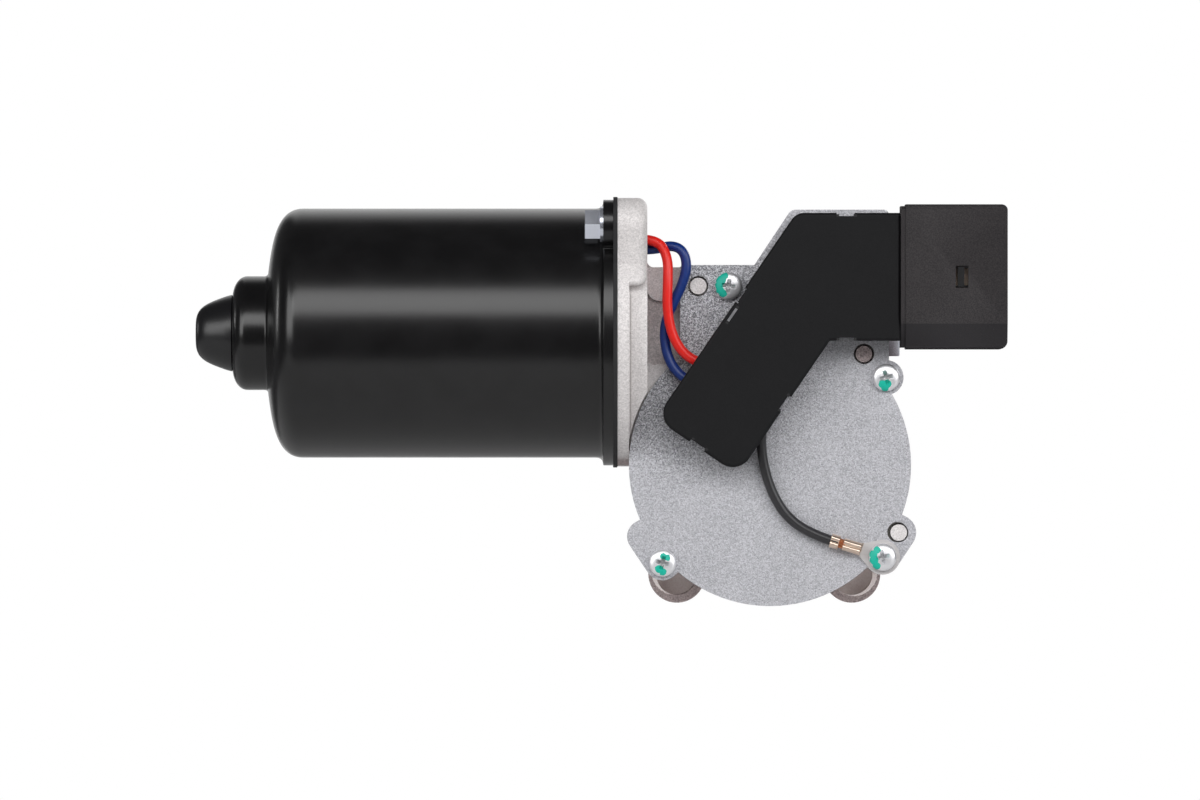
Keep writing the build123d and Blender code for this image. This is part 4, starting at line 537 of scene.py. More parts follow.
g = new_finish("tinned_brass")
rolled = g.noise(0.7 * MM, detail=4, rough=0.6, stretch=LINES_ALONG_X)
tin = g.spot(*RING_SEAT, TIN_REACH, ragged=0.5 * MM)
brass = g.mix(rolled, (0.72, 0.52, 0.40), (0.94, 0.80, 0.68))
grey = g.mix(rolled, (0.50, 0.48, 0.48), (0.66, 0.64, 0.64))
strip = g.mix(tin, brass, grey)
gloss = rolled * 0.1 + tin * 0.22 + 0.24
g.close(strip, roughness=gloss, height=rolled, depth=0.006 * MM, metallic=1 - tin * 0.65)
print("finishes", len(finishes))

# %% [markdown]
# The screw heads are zinc plated and nearly mirror bright. After assembly an inspector marks each
# one with green lacquer, which sits as a matt film on part of the head. The film is a mask made of
# ragged round spots, and it takes the metal away where it lies. The cross recesses are darker: grease
# stays in them, and painted shade is laid there too.

# %% Plated screw with inspection lacquer
LACQUER_SPOTS = (
    (-12.8, 53.0, 1.1), (-13.8, 51.7, 1.4), (-14.3, 50.2, 1.1), (-14.0, 48.9, 1.1), (-13.2, 48.0, 1.1),
    (31.5, 22.7, 1.15), (32.8, 22.7, 1.15), (32.1, 21.7, 1.1),
    (-29.9, -25.5, 0.9), (-28.8, -25.9, 0.9), (-31.1, -29.1, 1.1), (-30.0, -29.9, 1.0),
    (29.9, -23.8, 1.0), (28.9, -25.0, 1.15), (29.1, -26.7, 1.25), (29.8, -28.2, 1.05),
)
CROSS_R = 2.4
CROSS_TOP_Y = -42.4 * MM
CROSS_FADE = 0.5 * MM

g = new_finish("marked_zinc")
marks = g.noise(1.6 * MM, detail=4, rough=0.6)
film = g.spots(LACQUER_SPOTS, 0.35 * MM).between(0.1, 0.9)
# Grease and painted shade: the cross recesses get a darker colour below their top.
recess = g.spots([(x, z, CROSS_R) for x, z in SCREW_SEATS], 0.1 * MM)
recess = recess * g.parts(g.place())[1].between(CROSS_TOP_Y, CROSS_TOP_Y + CROSS_FADE)
plated = g.mix(marks, (0.80, 0.80, 0.83), (0.96, 0.96, 0.98))
metal = g.mix(recess * 0.35, plated, (0.10, 0.11, 0.10))
marked = g.mix(film, metal, (0.0, 0.46, 0.34))
gloss = marks * 0.1 + film * 0.1 + 0.34
relief = marks * 0.4 + film * 3
g.close(marked, roughness=gloss, height=relief, depth=0.006 * MM, metallic=0.8 - film * 0.8)
print("lacquer spots", len(LACQUER_SPOTS))

# %% [markdown]
# ## From solids to pieces
#
# A solid's mesh comes as loose triangles with knife edges. Real edges are rounded, and it is the
# rounding that catches the light. For a piece whose shape is right, a copy is merged, its flat
# faces are joined again, and the sharp edges get a narrow bevel. Normals weighted by area keep every
# flat face flat. The connector hood also gets two round corners, cut along planes that touch a
# circle. The casting is too intricate for all this, and its rough grain hides small facets, so it
# keeps the solid's own mesh.

# %% Copy a solid with rounded edges
def plain_mesh(thing, modifier):
    """The mesh that a modifier makes of a thing; the modifier itself is taken away."""
    evaluated = thing.evaluated_get(bpy.context.evaluated_depsgraph_get())
    mesh = bpy.data.meshes.new_from_object(evaluated)
    thing.modifiers.remove(modifier)
    return mesh


def show(mesh, name, node, slot=None, finish=None, instead=True):
    """Puts a finished mesh on a node's body, and in place of the node unless told not to."""
    slot = slot or slot_of[node]
    mesh.materials.clear()
    mesh.materials.append(finishes[finish or slot])
    piece = add(name, mesh)
    weigh = piece.modifiers.new("weigh", "WEIGHTED_NORMAL")
    weigh.keep_sharp = True
    piece.data = plain_mesh(piece, weigh)
    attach(piece, body_of[node])
    if instead:
        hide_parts(node)
    return piece


SHARP = 35


def shade(mesh, degrees=SHARP):
    """Smooth shading that stays sharp at edges steeper than the angle."""
    mesh.shade_smooth()
    mesh.set_sharp_from_angle(angle=math.radians(degrees))


# The centre (X, Z) and radius of each round corner in millimetres, and the way it faces in degrees.
CORNERS = {"connector_hood": (((64.6, 71.2), 1.6, 45), ((63.9, 34.7), 2.3, -45))}
CORNER_LEANS = (-27, -9, 9, 27)
MERGE_GAP = 0.002 * MM
FLAT_ANGLE = math.radians(0.6)


def round_corner(work, centre, radius, heading):
    """Cuts a corner of the outline, seen from the front, along lines that touch a circle."""
    for lean in CORNER_LEANS:
        turn = math.radians(heading + lean)
        out = Vector((math.cos(turn), 0, math.sin(turn)))
        touch = Vector((centre[0] * MM, 0, centre[1] * MM)) + out * radius * MM
        every = [*work.verts, *work.edges, *work.faces]
        cut = bmesh.ops.bisect_plane(work, geom=every, plane_co=touch, plane_no=out, clear_outer=True)
        rim = [part for part in cut["geom_cut"] if isinstance(part, bmesh.types.BMEdge)]
        bmesh.ops.triangle_fill(work, edges=rim, use_beauty=True)


def dressed(node, edge=0.0):
    """A piece made from a solid's own mesh, with its sharp edges rounded by the given width."""
    mesh = frame["nodes"][node].data.copy()
    work = bmesh.new()
    work.from_mesh(mesh)
    bmesh.ops.remove_doubles(work, verts=work.verts, dist=MERGE_GAP)
    for centre, radius, heading in CORNERS.get(node, ()):
        round_corner(work, centre, radius, heading)
    if edge:
        lines, points = work.edges[:], work.verts[:]
        bmesh.ops.dissolve_limit(work, angle_limit=FLAT_ANGLE, verts=points, edges=lines)
        joined = [line for line in work.edges if len(line.link_faces) == 2]
        steep = [line for line in joined if line.calc_face_angle(0) > math.radians(SHARP)]
        bmesh.ops.bevel(
            work, geom=steep, offset=edge, segments=2, profile=0.5, affect="EDGES", clamp_overlap=True
        )
        bmesh.ops.triangulate(work, faces=[f for f in work.faces if len(f.verts) > 4])
    work.to_mesh(mesh)
    work.free()
    shade(mesh)
    mesh.name = node
    return show(mesh, "dressed_" + node, node)


# How wide the rounding of each piece's edges is, in millimetres.
EDGES = {
    "can_gasket": 0.15,
    "lead_grommet": 0.2,
    "cover_plate": 0.15,
    "terminal_cover": 0.2,
    "connector_hood": 0.3,
    "terminal_blades": 0.08,
    "output_shim": 0.1,
    "shaft_seal": 0.15,
    "retaining_clip": 0.1,
    "thrust_screw": 0.15,
    "lock_nut": 0.25,
    "can_screws": 0.45,
}
for node, edge in EDGES.items():
    piece = dressed(node, edge * MM)
    print(node, "faces", len(piece.data.polygons))

# %% [markdown]
# ## A lathe made of nodes
#
# The can, the nose cap, the output shaft and the screw heads are turned forms: one profile, spun
# round one axis. Geometry Nodes can be the lathe. A circle is the path, and the profile is drawn as
# far inside that circle as its own radius asks, so points on the axis meet and merge into a closed
# pole. The same tree cuts a thread: between two heights it pushes each point inwards by a wave that
# climbs one pitch in each turn.

# %% Build the lathe
class Recipe(Tree):
    """A Geometry Nodes tree with named inputs."""

    def __init__(self, name, **inputs):
        super().__init__(bpy.data.node_groups.new(name, "GeometryNodeTree"))
        self.ids = {}
        for label, kind in inputs.items():
            self.ids[label] = self.opening(label, "INPUT", kind)
        self.opening("Geometry", "OUTPUT", "Geometry")
        self.start = self.tree.nodes.new("NodeGroupInput")

    def opening(self, label, way, kind):
        """Adds an input or output to the whole tree and returns its identifier."""
        kind = "NodeSocket" + kind
        return self.tree.interface.new_socket(label, in_out=way, socket_type=kind).identifier

    def given(self, label):
        """What comes in through a named input."""
        return Wire(self, self.start.outputs[label])

    def end(self, geometry):
        """Makes real geometry of all instances and gives it the material."""
        whole = self.node("GeometryNodeRealizeInstances", {0: geometry})
        values = {"Geometry": whole, "Material": self.given("material")}
        painted = self.node("GeometryNodeSetMaterial", values)
        self.node("NodeGroupOutput", {0: painted})

    def make(self, name, **values):
        """Follows the recipe once and returns a plain mesh."""
        holder = add(name, bpy.data.meshes.new(name))
        modifier = holder.modifiers.new(name, "NODES")
        modifier.node_group = self.tree
        for label, value in values.items():
            modifier[self.ids[label]] = value
        mesh = plain_mesh(holder, modifier)
        bpy.data.objects.remove(holder)
        return mesh


LATHE_RADIUS = 0.1

lathe = Recipe(
    "lathe", profile="Object", segments="Int", thread_low="Float", thread_high="Float",
    pitch="Float", depth="Float", material="Material",
)
drawn = lathe.node("GeometryNodeObjectInfo", {0: lathe.given("profile")}, out="Geometry")
circle = {"Resolution": lathe.given("segments"), "Radius": LATHE_RADIUS}
path = lathe.node("GeometryNodeCurvePrimitiveCircle", circle)
spun = lathe.node("GeometryNodeCurveToMesh", {"Curve": path, "Profile Curve": drawn})
ends = {"Geometry": spun, "Distance": 0.001 * MM}
closed = lathe.node("GeometryNodeMergeByDistance", ends)
x, y, z = lathe.parts(lathe.node("GeometryNodeInputPosition"))
turn = y.math("ARCTAN2", x) / math.tau
wave = ((z / lathe.given("pitch") - turn) * math.tau).math("SINE") * 0.5 + 0.5
above = z.math("GREATER_THAN", lathe.given("thread_low"))
inside = above * z.math("LESS_THAN", lathe.given("thread_high"))
radial = lathe.node("CombineXYZ", {0: x, 1: y, 2: 0.0})
unit = lathe.node("VectorMath", {0: radial}, operation="NORMALIZE")
push = wave * inside * lathe.given("depth") * -1
move = lathe.node("VectorMath", {0: unit, "Scale": push}, operation="SCALE")
cut = lathe.node("GeometryNodeSetPosition", {"Geometry": closed, "Offset": move})
lathe.end(cut)


def stand(origin, axis):
    """The move that takes a form from the Z axis to a line from the origin."""
    turn = Vector((0, 0, 1)).rotation_difference(axis)
    return Matrix.Translation(origin) @ turn.to_matrix().to_4x4()


def close_mesh(work, name):
    """Ends some mesh work in a new mesh, with its faces turned outwards."""
    bmesh.ops.recalc_face_normals(work, faces=work.faces)
    mesh = bpy.data.meshes.new(name)
    work.to_mesh(mesh)
    work.free()
    return mesh


def turned(
    name, points, finish, origin, axis,
    segments=96, hollow=False, thread=(0.0, 0.0), pitch=1.0, depth=0.0,
):
    """A turned mesh. Each point is (height along the axis, radius).

    The points run from pole to pole, or round the wall's section if the form is hollow.
    """
    curve = bpy.data.curves.new(name + "_profile", "CURVE")
    curve.dimensions = "3D"
    spline = curve.splines.new("POLY")
    spline.points.add(len(points) - 1)
    spline.use_cyclic_u = hollow
    for point, (height, radius) in zip(spline.points, points):
        point.co = (radius - LATHE_RADIUS, -height, 0, 1)
    drawing = add(name + "_profile", curve)
    mesh = lathe.make(
        name, profile=drawing, segments=segments, thread_low=thread[0], thread_high=thread[1],
        pitch=pitch, depth=depth, material=finishes[finish],
    )
    bpy.data.objects.remove(drawing)
    mesh.transform(stand(origin, axis))
    work = bmesh.new()
    work.from_mesh(mesh)
    mesh = close_mesh(work, name)
    shade(mesh)
    return mesh


def rounded(corner, radius, before, after, steps):
    """Points of a small arc that rounds a corner between its two neighbours."""
    corner, before, after = Vector(corner), Vector(before), Vector(after)
    first = corner + (before - corner).normalized() * radius
    last = corner + (after - corner).normalized() * radius
    ways = [number / steps for number in range(steps + 1)]
    return [tuple(first.lerp(corner, t).lerp(corner.lerp(last, t), t)) for t in ways]


print("lathe with", len(lathe.tree.nodes), "nodes")

# %% [markdown]
# The can is one deep drawn cup, so its section is the whole of its shape: a boss for the rear
# bearing, a soft root, an end that curves without a corner into the wall, and a rolled rim. The
# light follows the curves, and an arc beside a straight line would show a hard band, so the end is
# one cubic curve and the boss's shoulder another. Two small ears carry the screws.

# %% Spin the can
CAN_R = 35.0 * MM
CAN_WALL = 1.6 * MM
CAN_RIM_R = 37.2 * MM
CAN_RIM = 2.8 * MM
CAN_RIM_ROOT = 2.1 * MM
CAN_EAR_R = 6.9 * MM
CAN_EAR_FOOT_R = 16.3 * MM
CAN_EAR_FOOT_SHARE = 0.55
CAN_SCREWS = ((-26.8 * MM, 30.2 * MM), (26.8 * MM, -30.2 * MM))
BOSS_R = 16.0 * MM
BOSS_LENGTH = 10.0 * MM
BOSS_ROOT = 1.0 * MM
BOSS_HOLE_R = 8.0 * MM
BOSS_CURVE = ((0.0, 9.4), (0.0, 13.0), (1.6, 16.0), (4.3, 16.0))
END_CURVE = ((0.1, 17.0), (1.3, 27.0), (2.9, 35.0), (9.9, 35.0))
INNER_BEND = (3 * MM, 8 * MM, 5 * MM)
RIM_EDGE = 0.3 * MM
EAR_STAND_OFF = 0.4 * MM
EAR_GAP = 0.02 * MM
EAR_POINTS = 24
ALONG_X = Vector((1, 0, 0))

can_low, can_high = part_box("motor_can")
nose_low, nose_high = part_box("nose_cap")
MOTOR_AXIS = Vector((0, (nose_low[1] + nose_high[1]) / 2, (nose_low[2] + nose_high[2]) / 2))
boss_x = can_low[0]
foot_x = boss_x + BOSS_LENGTH
face_x = can_high[0]
rim_x = face_x - CAN_RIM


def cubic(corners, origin, steps):
    """Points of a cubic curve that four corners in millimetres give, from the origin on."""
    made = []
    for number in range(steps + 1):
        t = number / steps
        shares = ((1 - t) ** 3, 3 * t * (1 - t) ** 2, 3 * t * t * (1 - t), t**3)
        x, r = [sum(share * corner[k] for share, corner in zip(shares, corners)) for k in (0, 1)]
        made.append((origin + x * MM, r * MM))
    return made


end_curve = cubic(END_CURVE, foot_x, 24)
profile = [(boss_x, BOSS_HOLE_R), *cubic(BOSS_CURVE, boss_x, 16)]
profile += rounded((foot_x, BOSS_R), BOSS_ROOT, (boss_x, BOSS_R), end_curve[0], 5)
profile += end_curve[1:]
profile += rounded((rim_x, CAN_R), CAN_RIM_ROOT, (foot_x, CAN_R), (rim_x, CAN_RIM_R), 6)
profile += rounded((rim_x, CAN_RIM_R), RIM_EDGE, (rim_x, CAN_R), (face_x, CAN_RIM_R), 3)
inner_r = CAN_R - CAN_WALL
near, far, drop = INNER_BEND
profile += [
    (face_x, CAN_RIM_R), (face_x, inner_r), (foot_x + far, inner_r), (foot_x + near, inner_r - drop),
    (foot_x + CAN_WALL, BOSS_R - CAN_WALL), (boss_x + 2 * CAN_WALL, BOSS_R - CAN_WALL),
    (boss_x + CAN_WALL, BOSS_R - 2 * CAN_WALL), (boss_x + CAN_WALL, BOSS_HOLE_R),
]
can_mesh = turned("motor_can", profile, "black_paint", MOTOR_AXIS, ALONG_X, segments=180, hollow=True)


def ear_outline(place):
    """The outline of a screw ear, kept outside the can's wall."""
    foot = [CAN_EAR_FOOT_SHARE * value for value in place]
    heading = math.atan2(place[1], place[0])
    lean = math.acos((CAN_EAR_R - CAN_EAR_FOOT_R) / math.dist(place, foot))
    arcs = (
        (place, CAN_EAR_R, heading - lean, heading + lean),
        (foot, CAN_EAR_FOOT_R, heading + lean, heading + math.tau - lean),
    )
    outline = []
    for centre, radius, start, stop in arcs:
        for number in range(EAR_POINTS + 1):
            turn = start + (stop - start) * number / EAR_POINTS
            y = centre[0] + radius * math.cos(turn)
            z = centre[1] + radius * math.sin(turn)
            out = max(1.0, (CAN_R + EAR_STAND_OFF) / math.hypot(y, z))
            outline.append((y * out, z * out))
    return outline


def walls(work, first, second):
    """Joins two rings of as many points by side faces."""
    for a in range(len(first)):
        b = (a + 1) % len(first)
        work.faces.new((first[a], first[b], second[b], second[a]))


def prism(work, first, second):
    """A closed form between two outlines of as many points."""
    work.faces.new(first)
    work.faces.new(second)
    walls(work, first, second)


work = bmesh.new()
work.from_mesh(can_mesh)
for place in CAN_SCREWS:
    ends = []
    for x in (rim_x + EAR_GAP, face_x - EAR_GAP):
        ends.append([work.verts.new(MOTOR_AXIS + Vector((x, y, z))) for y, z in ear_outline(place)])
    prism(work, *ends)
can_mesh = close_mesh(work, "motor_can")
shade(can_mesh)
show(can_mesh, "spun_motor_can", "motor_can")
print("motor can", len(can_mesh.polygons), "faces")

# %% [markdown]
# The nose cap closes the bearing boss. It is a glossy moulding that swells from its blunt tip to a
# thin rim, so its side is a cubic curve too.

# %% Turn the nose cap
NOSE_R = 10.75 * MM
NOSE_RIM = 0.6 * MM
NOSE_EDGE = 0.25 * MM
NOSE_STEM = 8.0 * MM
NOSE_CURVE = ((0.0, 2.6), (0.05, 7.5), (3.0, 8.4), (9.7, 10.75))

profile = [(nose_high[0], 0), (nose_high[0], NOSE_STEM), (boss_x, NOSE_STEM)]
profile += rounded((boss_x, NOSE_R), NOSE_EDGE, (boss_x, 0), (boss_x - NOSE_RIM, NOSE_R), 3)
profile += cubic(NOSE_CURVE, nose_low[0], 20)[-2::-1]
profile += [(nose_low[0], 0)]
mesh = turned("nose_cap", profile, "nose_moulding", MOTOR_AXIS, ALONG_X)
show(mesh, "turned_nose_cap", "nose_cap", finish="nose_moulding")
print("nose cap", len(mesh.polygons), "faces")

# %% [markdown]
# The output shaft takes the wiper arm: a clip groove, a taper that grips the arm, and a thread for
# its nut. The solid model leaves the thread out, so the lathe cuts it here, 1.25 mm a turn.

# %% Turn the output shaft and cut its thread
SHAFT_R = 5.0 * MM
GROOVE_DEPTH = 0.8 * MM
GROOVE_WIDTH = 1.2 * MM
TAPER = 10.0 * MM
THREAD_R = 4.0 * MM
THREAD_LENGTH = 12.0 * MM
THREAD_PITCH = 1.25 * MM
THREAD_DEPTH = 0.65 * MM
CUTS_PER_PITCH = 10
END_CHAMFER = 0.8 * MM
FOOT_CHAMFER = 0.5 * MM
THREAD_STOP = 0.1 * MM

shaft_low, shaft_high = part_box("output_shaft")
clip_low, clip_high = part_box("retaining_clip")
groove = (clip_low[1] + clip_high[1] - GROOVE_WIDTH) / 2
thread_from = shaft_high[1] - THREAD_LENGTH
cuts = round(THREAD_LENGTH / THREAD_PITCH * CUTS_PER_PITCH)
cut_length = THREAD_LENGTH - END_CHAMFER
thread_points = [(thread_from + cut_length * number / cuts, THREAD_R) for number in range(cuts + 1)]
profile = [
    (shaft_low[1], 0), (shaft_low[1], SHAFT_R - FOOT_CHAMFER), (shaft_low[1] + FOOT_CHAMFER, SHAFT_R),
    (groove, SHAFT_R), (groove, SHAFT_R - GROOVE_DEPTH),
    (groove + GROOVE_WIDTH, SHAFT_R - GROOVE_DEPTH), (groove + GROOVE_WIDTH, SHAFT_R),
    (thread_from - TAPER, SHAFT_R), *thread_points,
    (shaft_high[1], THREAD_R - END_CHAMFER), (shaft_high[1], 0),
]
thread = (thread_from + THREAD_PITCH / 2, shaft_high[1] - THREAD_STOP)
mesh = turned(
    "output_shaft", profile, "ground_steel", Vector(), Vector((0, 1, 0)),
    thread=thread, pitch=THREAD_PITCH, depth=THREAD_DEPTH,
)
show(mesh, "turned_output_shaft", "output_shaft")
print("output shaft", len(mesh.vertices), "points")

# %% [markdown]
# ## The cover screws
#
# Four equal pan heads hold the plate. One head is made with care: a domed profile from the lathe,
# and a cross recess that narrows with depth, cut by a boolean. Then Geometry Nodes sets a copy on
# each of the four seats and gives each its own turn, from a fixed seed, because no two screws stop
# at the same angle. The last screw also holds the ring terminal, so one ring lies under it.

# %% Make one screw and set four
HEAD_R = 3.85 * MM
HEAD_HEIGHT = 2.5 * MM
HEAD_SIDE = 1.1 * MM
HEAD_EDGE = 0.15 * MM
SHANK_R = 2.0 * MM
SHANK_LENGTH = 7.0 * MM
DOME_POWER = 1.2
# How high the cross starts and ends, and the reach and half width of its arms there.
CROSS_TOP = (3.0 * MM, 2.4725 * MM, 0.682 * MM)
CROSS_FLOOR = (0.8 * MM, 0.7525 * MM, 0.31 * MM)
HEAD_BEVEL = 0.1 * MM
RING_THICKNESS = 0.8 * MM
PLATE_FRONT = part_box("cover_plate")[0][1]
RINGS_UNDER = (0, 0, 0, 1)
SCREW_TURN = math.radians(20)
SCREW_SEED = 4


def screw_head():
    """A pan head with its shank, standing on the XY plane and looking up."""
    dome = []
    for number in range(10, 0, -1):
        turn = math.radians(90) * number / 10
        drop = (HEAD_HEIGHT - HEAD_SIDE) * (1 - math.cos(turn)) ** DOME_POWER
        dome.append((HEAD_HEIGHT - drop, HEAD_R * math.sin(turn)))
    points = [
        (-SHANK_LENGTH, 0), (-SHANK_LENGTH, SHANK_R), (0, SHANK_R), (0, HEAD_R - HEAD_EDGE),
        (HEAD_EDGE, HEAD_R), *dome, (HEAD_HEIGHT, 0),
    ]
    return turned("screw_head", points, "marked_zinc", Vector(), Vector((0, 0, 1)), segments=64)


def cross_cutter():
    """Two crossed wedges, wide at the top and narrow at the bottom."""
    work = bmesh.new()
    for turn in (0, 90):
        spin = Matrix.Rotation(math.radians(turn), 4, "Z")
        rings = []
        for height, reach, arm in (CROSS_TOP, CROSS_FLOOR):
            corners = [(-reach, -arm), (reach, -arm), (reach, arm), (-reach, arm)]
            rings.append([work.verts.new(spin @ Vector((a, b, height))) for a, b in corners])
        prism(work, *rings)
    return close_mesh(work, "cross_cutter")


head = add("screw_head", screw_head())
cutter = add("cross_cutter", cross_cutter())
boolean = head.modifiers.new("recess", "BOOLEAN")
boolean.object = cutter
boolean.operation = "DIFFERENCE"
boolean.solver = "EXACT"
boolean.use_self = True
bevel = head.modifiers.new("soften", "BEVEL")
bevel.width = HEAD_BEVEL
bevel.segments = 2
bevel.angle_limit = math.radians(40)

setter = Recipe(
    "screw_setter", seats="Object", screw="Object", spread="Float", seed="Int", material="Material"
)
points = setter.node("GeometryNodeObjectInfo", {0: setter.given("seats")}, out="Geometry")
screw = setter.node("GeometryNodeObjectInfo", {0: setter.given("screw")}, out="Geometry")
chance = {2: setter.given("spread") * -1, 3: setter.given("spread"), "Seed": setter.given("seed")}
angle = setter.node("FunctionNodeRandomValue", chance, out=1, data_type="FLOAT")
twist = setter.node("CombineXYZ", {0: math.radians(90), 1: angle, 2: 0.0})
values = {"Points": points, "Instance": screw, "Rotation": twist}
setter.end(setter.node("GeometryNodeInstanceOnPoints", values))

places = []
for (x, z), rings in zip(SCREW_SEATS, RINGS_UNDER):
    places.append((x * MM, PLATE_FRONT - rings * RING_THICKNESS, z * MM))
seats = bpy.data.meshes.new("screw_seats")
seats.from_pydata(places, [], [])
seat_points = add("screw_seats", seats)
mesh = setter.make(
    "cover_screws", seats=seat_points, screw=head, spread=SCREW_TURN, seed=SCREW_SEED,
    material=finishes["marked_zinc"],
)
for thing in (head, cutter, seat_points):
    bpy.data.objects.remove(thing)
shade(mesh, 30)
show(mesh, "set_cover_screws", "cover_screws", finish="marked_zinc")
print("cover screws", len(mesh.polygons), "faces")

# %% [markdown]
# ## The ring terminal
#
# The tongue is one stamped strip. Its ears are rolled round the lead in two places: one pair grips
# the insulation, the other the bare strands, which show in the gap between. Each rolled pair meets
# in a seam along its middle, so its cross-section is a ring with a furrow in front.

# %% Roll the terminal
BARREL_WAY = Vector((6.4, -0.3, -1.9)).normalized()
LEAD_END = Vector((19.0, -42.2, -21.7)) * MM
# Where each barrel starts and ends along the lead's way, and its radius.
GRIP = (-2.1 * MM, 0.3 * MM, 1.95 * MM)
CRIMP = (1.6 * MM, 6.6 * MM, 1.72 * MM)
RING_R = 4.9 * MM
FURROW = 0.34
FURROW_WIDTH = 0.30
STRANDS = 9
STRAND_R = 0.34 * MM
STRAND_RING = 1.0 * MM
STRAND_OVERLAP = 1.2 * MM
BARREL_POINTS = 48
BARREL_STATIONS = ((0, 0.72), (0, 1.05), (0.12, 1.0), (0.88, 1.0), (1, 1.05), (1, 0.72))
TONGUE_OPENING = math.radians(68)


def barrel(work, start, end, radius):
    """A rolled barrel along the lead's end, with slightly flared mouths."""
    side = BARREL_WAY.cross(Vector((0, 1, 0))).normalized()
    front = side.cross(BARREL_WAY).normalized()
    front = front if front.y < 0 else -front
    rings = []
    for share, swell in BARREL_STATIONS:
        middle = LEAD_END + BARREL_WAY * (start + (end - start) * share)
        ring = []
        for number in range(BARREL_POINTS):
            turn = math.tau * number / BARREL_POINTS
            away = min(turn, math.tau - turn)
            r = radius * swell * (1 - FURROW * math.exp(-((away / FURROW_WIDTH) ** 2)))
            offset = front * (r * math.cos(turn)) + side * (r * math.sin(turn))
            ring.append(work.verts.new(middle + offset))
        rings.append(ring)
    for first, second in zip(rings, rings[1:]):
        walls(work, first, second)
    work.faces.new(rings[0])
    work.faces.new(rings[-1])


def tongue_outline():
    """The ring with the two lines that run to the narrow neck."""
    ring_x, ring_z = RING_SEAT
    neck = LEAD_END + BARREL_WAY * CRIMP[1]
    heading = math.atan2(neck.z - ring_z, neck.x - ring_x)
    sweep = math.tau - 2 * TONGUE_OPENING
    turns = [heading + TONGUE_OPENING + sweep * number / 40 for number in range(41)]
    ring = [(ring_x + RING_R * math.cos(a), ring_z + RING_R * math.sin(a)) for a in turns]
    across = Vector((-math.sin(heading), math.cos(heading)))
    middle = Vector((neck.x, neck.z))
    return [*ring, tuple(middle - across * CRIMP[2]), tuple(middle + across * CRIMP[2])]


work = bmesh.new()
tongue = []
for y in (PLATE_FRONT, PLATE_FRONT - RING_THICKNESS):
    tongue.append([work.verts.new((x, y, z)) for x, z in tongue_outline()])
prism(work, *tongue)
barrel(work, *GRIP)
barrel(work, *CRIMP)
mesh = close_mesh(work, "ring_terminal")
shade(mesh, 40)
show(mesh, "rolled_ring_terminal", "ring_terminal")

bundler = Recipe(
    "strand_bundler", count="Int", ring="Float", thickness="Float", length="Float", material="Material"
)
values = {"Vertices": bundler.given("count"), "Radius": bundler.given("ring")}
circle = bundler.node("GeometryNodeMeshCircle", values)
values = {"Vertices": 10, "Radius": bundler.given("thickness"), "Depth": bundler.given("length")}
strand = bundler.node("GeometryNodeMeshCylinder", values, out="Mesh")
values = {"Points": circle, "Instance": strand}
bundler.end(bundler.node("GeometryNodeInstanceOnPoints", values))
gap = CRIMP[0] - GRIP[1] + STRAND_OVERLAP
mesh = bundler.make(
    "strands", count=STRANDS, ring=STRAND_RING, thickness=STRAND_R, length=gap,
    material=finishes["copper"],
)
middle = LEAD_END + BARREL_WAY * ((CRIMP[0] + GRIP[1]) / 2)
mesh.transform(stand(middle, BARREL_WAY))
shade(mesh)
show(mesh, "ground_lead_strands", "ground_lead", "copper", instead=False)
print("strands", STRANDS, "between two barrels")

# %% [markdown]
# ## Snaps and latch
#
# Small dark squares beside the cover's notches are painted shade where its snap windows are, and the
# connector's latch window holds a slanted ramp. They are tiny, but they break up the large dark faces.
# The solid's left notch lies too far up the arm, so a cheek fills it, and a steel clip shows the snap
# in its right place.

# %% Set dark squares of painted shade for the snap windows, and the latch ramp
SNAP_SIDE = 0.75 * MM
SNAP_DEPTH = 0.46 * MM
SNAP_TURN = 55.6
STRAIGHT_SNAPS = ((18.8, 69.7), (23.8, 69.7), (18.8, 35.2), (23.6, 35.2))
ARM_SNAPS = ((5.0, 19.6), (2.5, 15.4), (-9.2, 44.1), (-12.1, 39.8), (-17.9, 4.4), (-21.6, 7.3))
# Centre, with its depth from the cover's front, and sizes, both in millimetres, and the finish.
SNAP_BLOCKS = {
    "snap_cheek": ((-7.36, 1.1, 47.42), (5.02, 2.0, 0.9), slot_of["terminal_cover"]),
    "snap_clip": ((-10.66, 0.35, 41.97), (4.2, 0.8, 0.7), "spring_steel"),
}
LATCH = (52.3 * MM, 54.1 * MM)
LATCH_HEIGHT = 5.5 * MM
LATCH_Z = 52.6 * MM
LATCH_FRONT = (0.5 * MM, 0.15 * MM)
LATCH_BACK = 1.9 * MM

cover_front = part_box("terminal_cover")[0][1]
hood_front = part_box("connector_hood")[0][1]


def box_at(work, centre, sizes, degrees):
    """A box with its own turn about the viewing direction."""
    place = Matrix.Translation(centre) @ Matrix.Rotation(math.radians(-degrees), 4, "Y")
    bmesh.ops.create_cube(work, size=1.0, matrix=place @ Matrix.Diagonal((*sizes, 1)))


# Dark squares of painted shade, flush with the cover's front, where the snap windows are.
work = bmesh.new()
for places, degrees in ((STRAIGHT_SNAPS, 0), (ARM_SNAPS, SNAP_TURN)):
    for x, z in places:
        centre = Vector((x * MM, cover_front + 0.2 * MM, z * MM))
        box_at(work, centre, (SNAP_SIDE, SNAP_DEPTH, SNAP_SIDE), degrees)
mesh = close_mesh(work, "snap_windows")
show(mesh, "snap_windows", "terminal_cover", "black_rubber", instead=False)

for name, (centre, sizes, slot) in SNAP_BLOCKS.items():
    work = bmesh.new()
    centre = Vector((0, cover_front, 0)) + Vector(centre) * MM
    box_at(work, centre, [size * MM for size in sizes], SNAP_TURN)
    show(close_mesh(work, name), name, "terminal_cover", slot, instead=False)

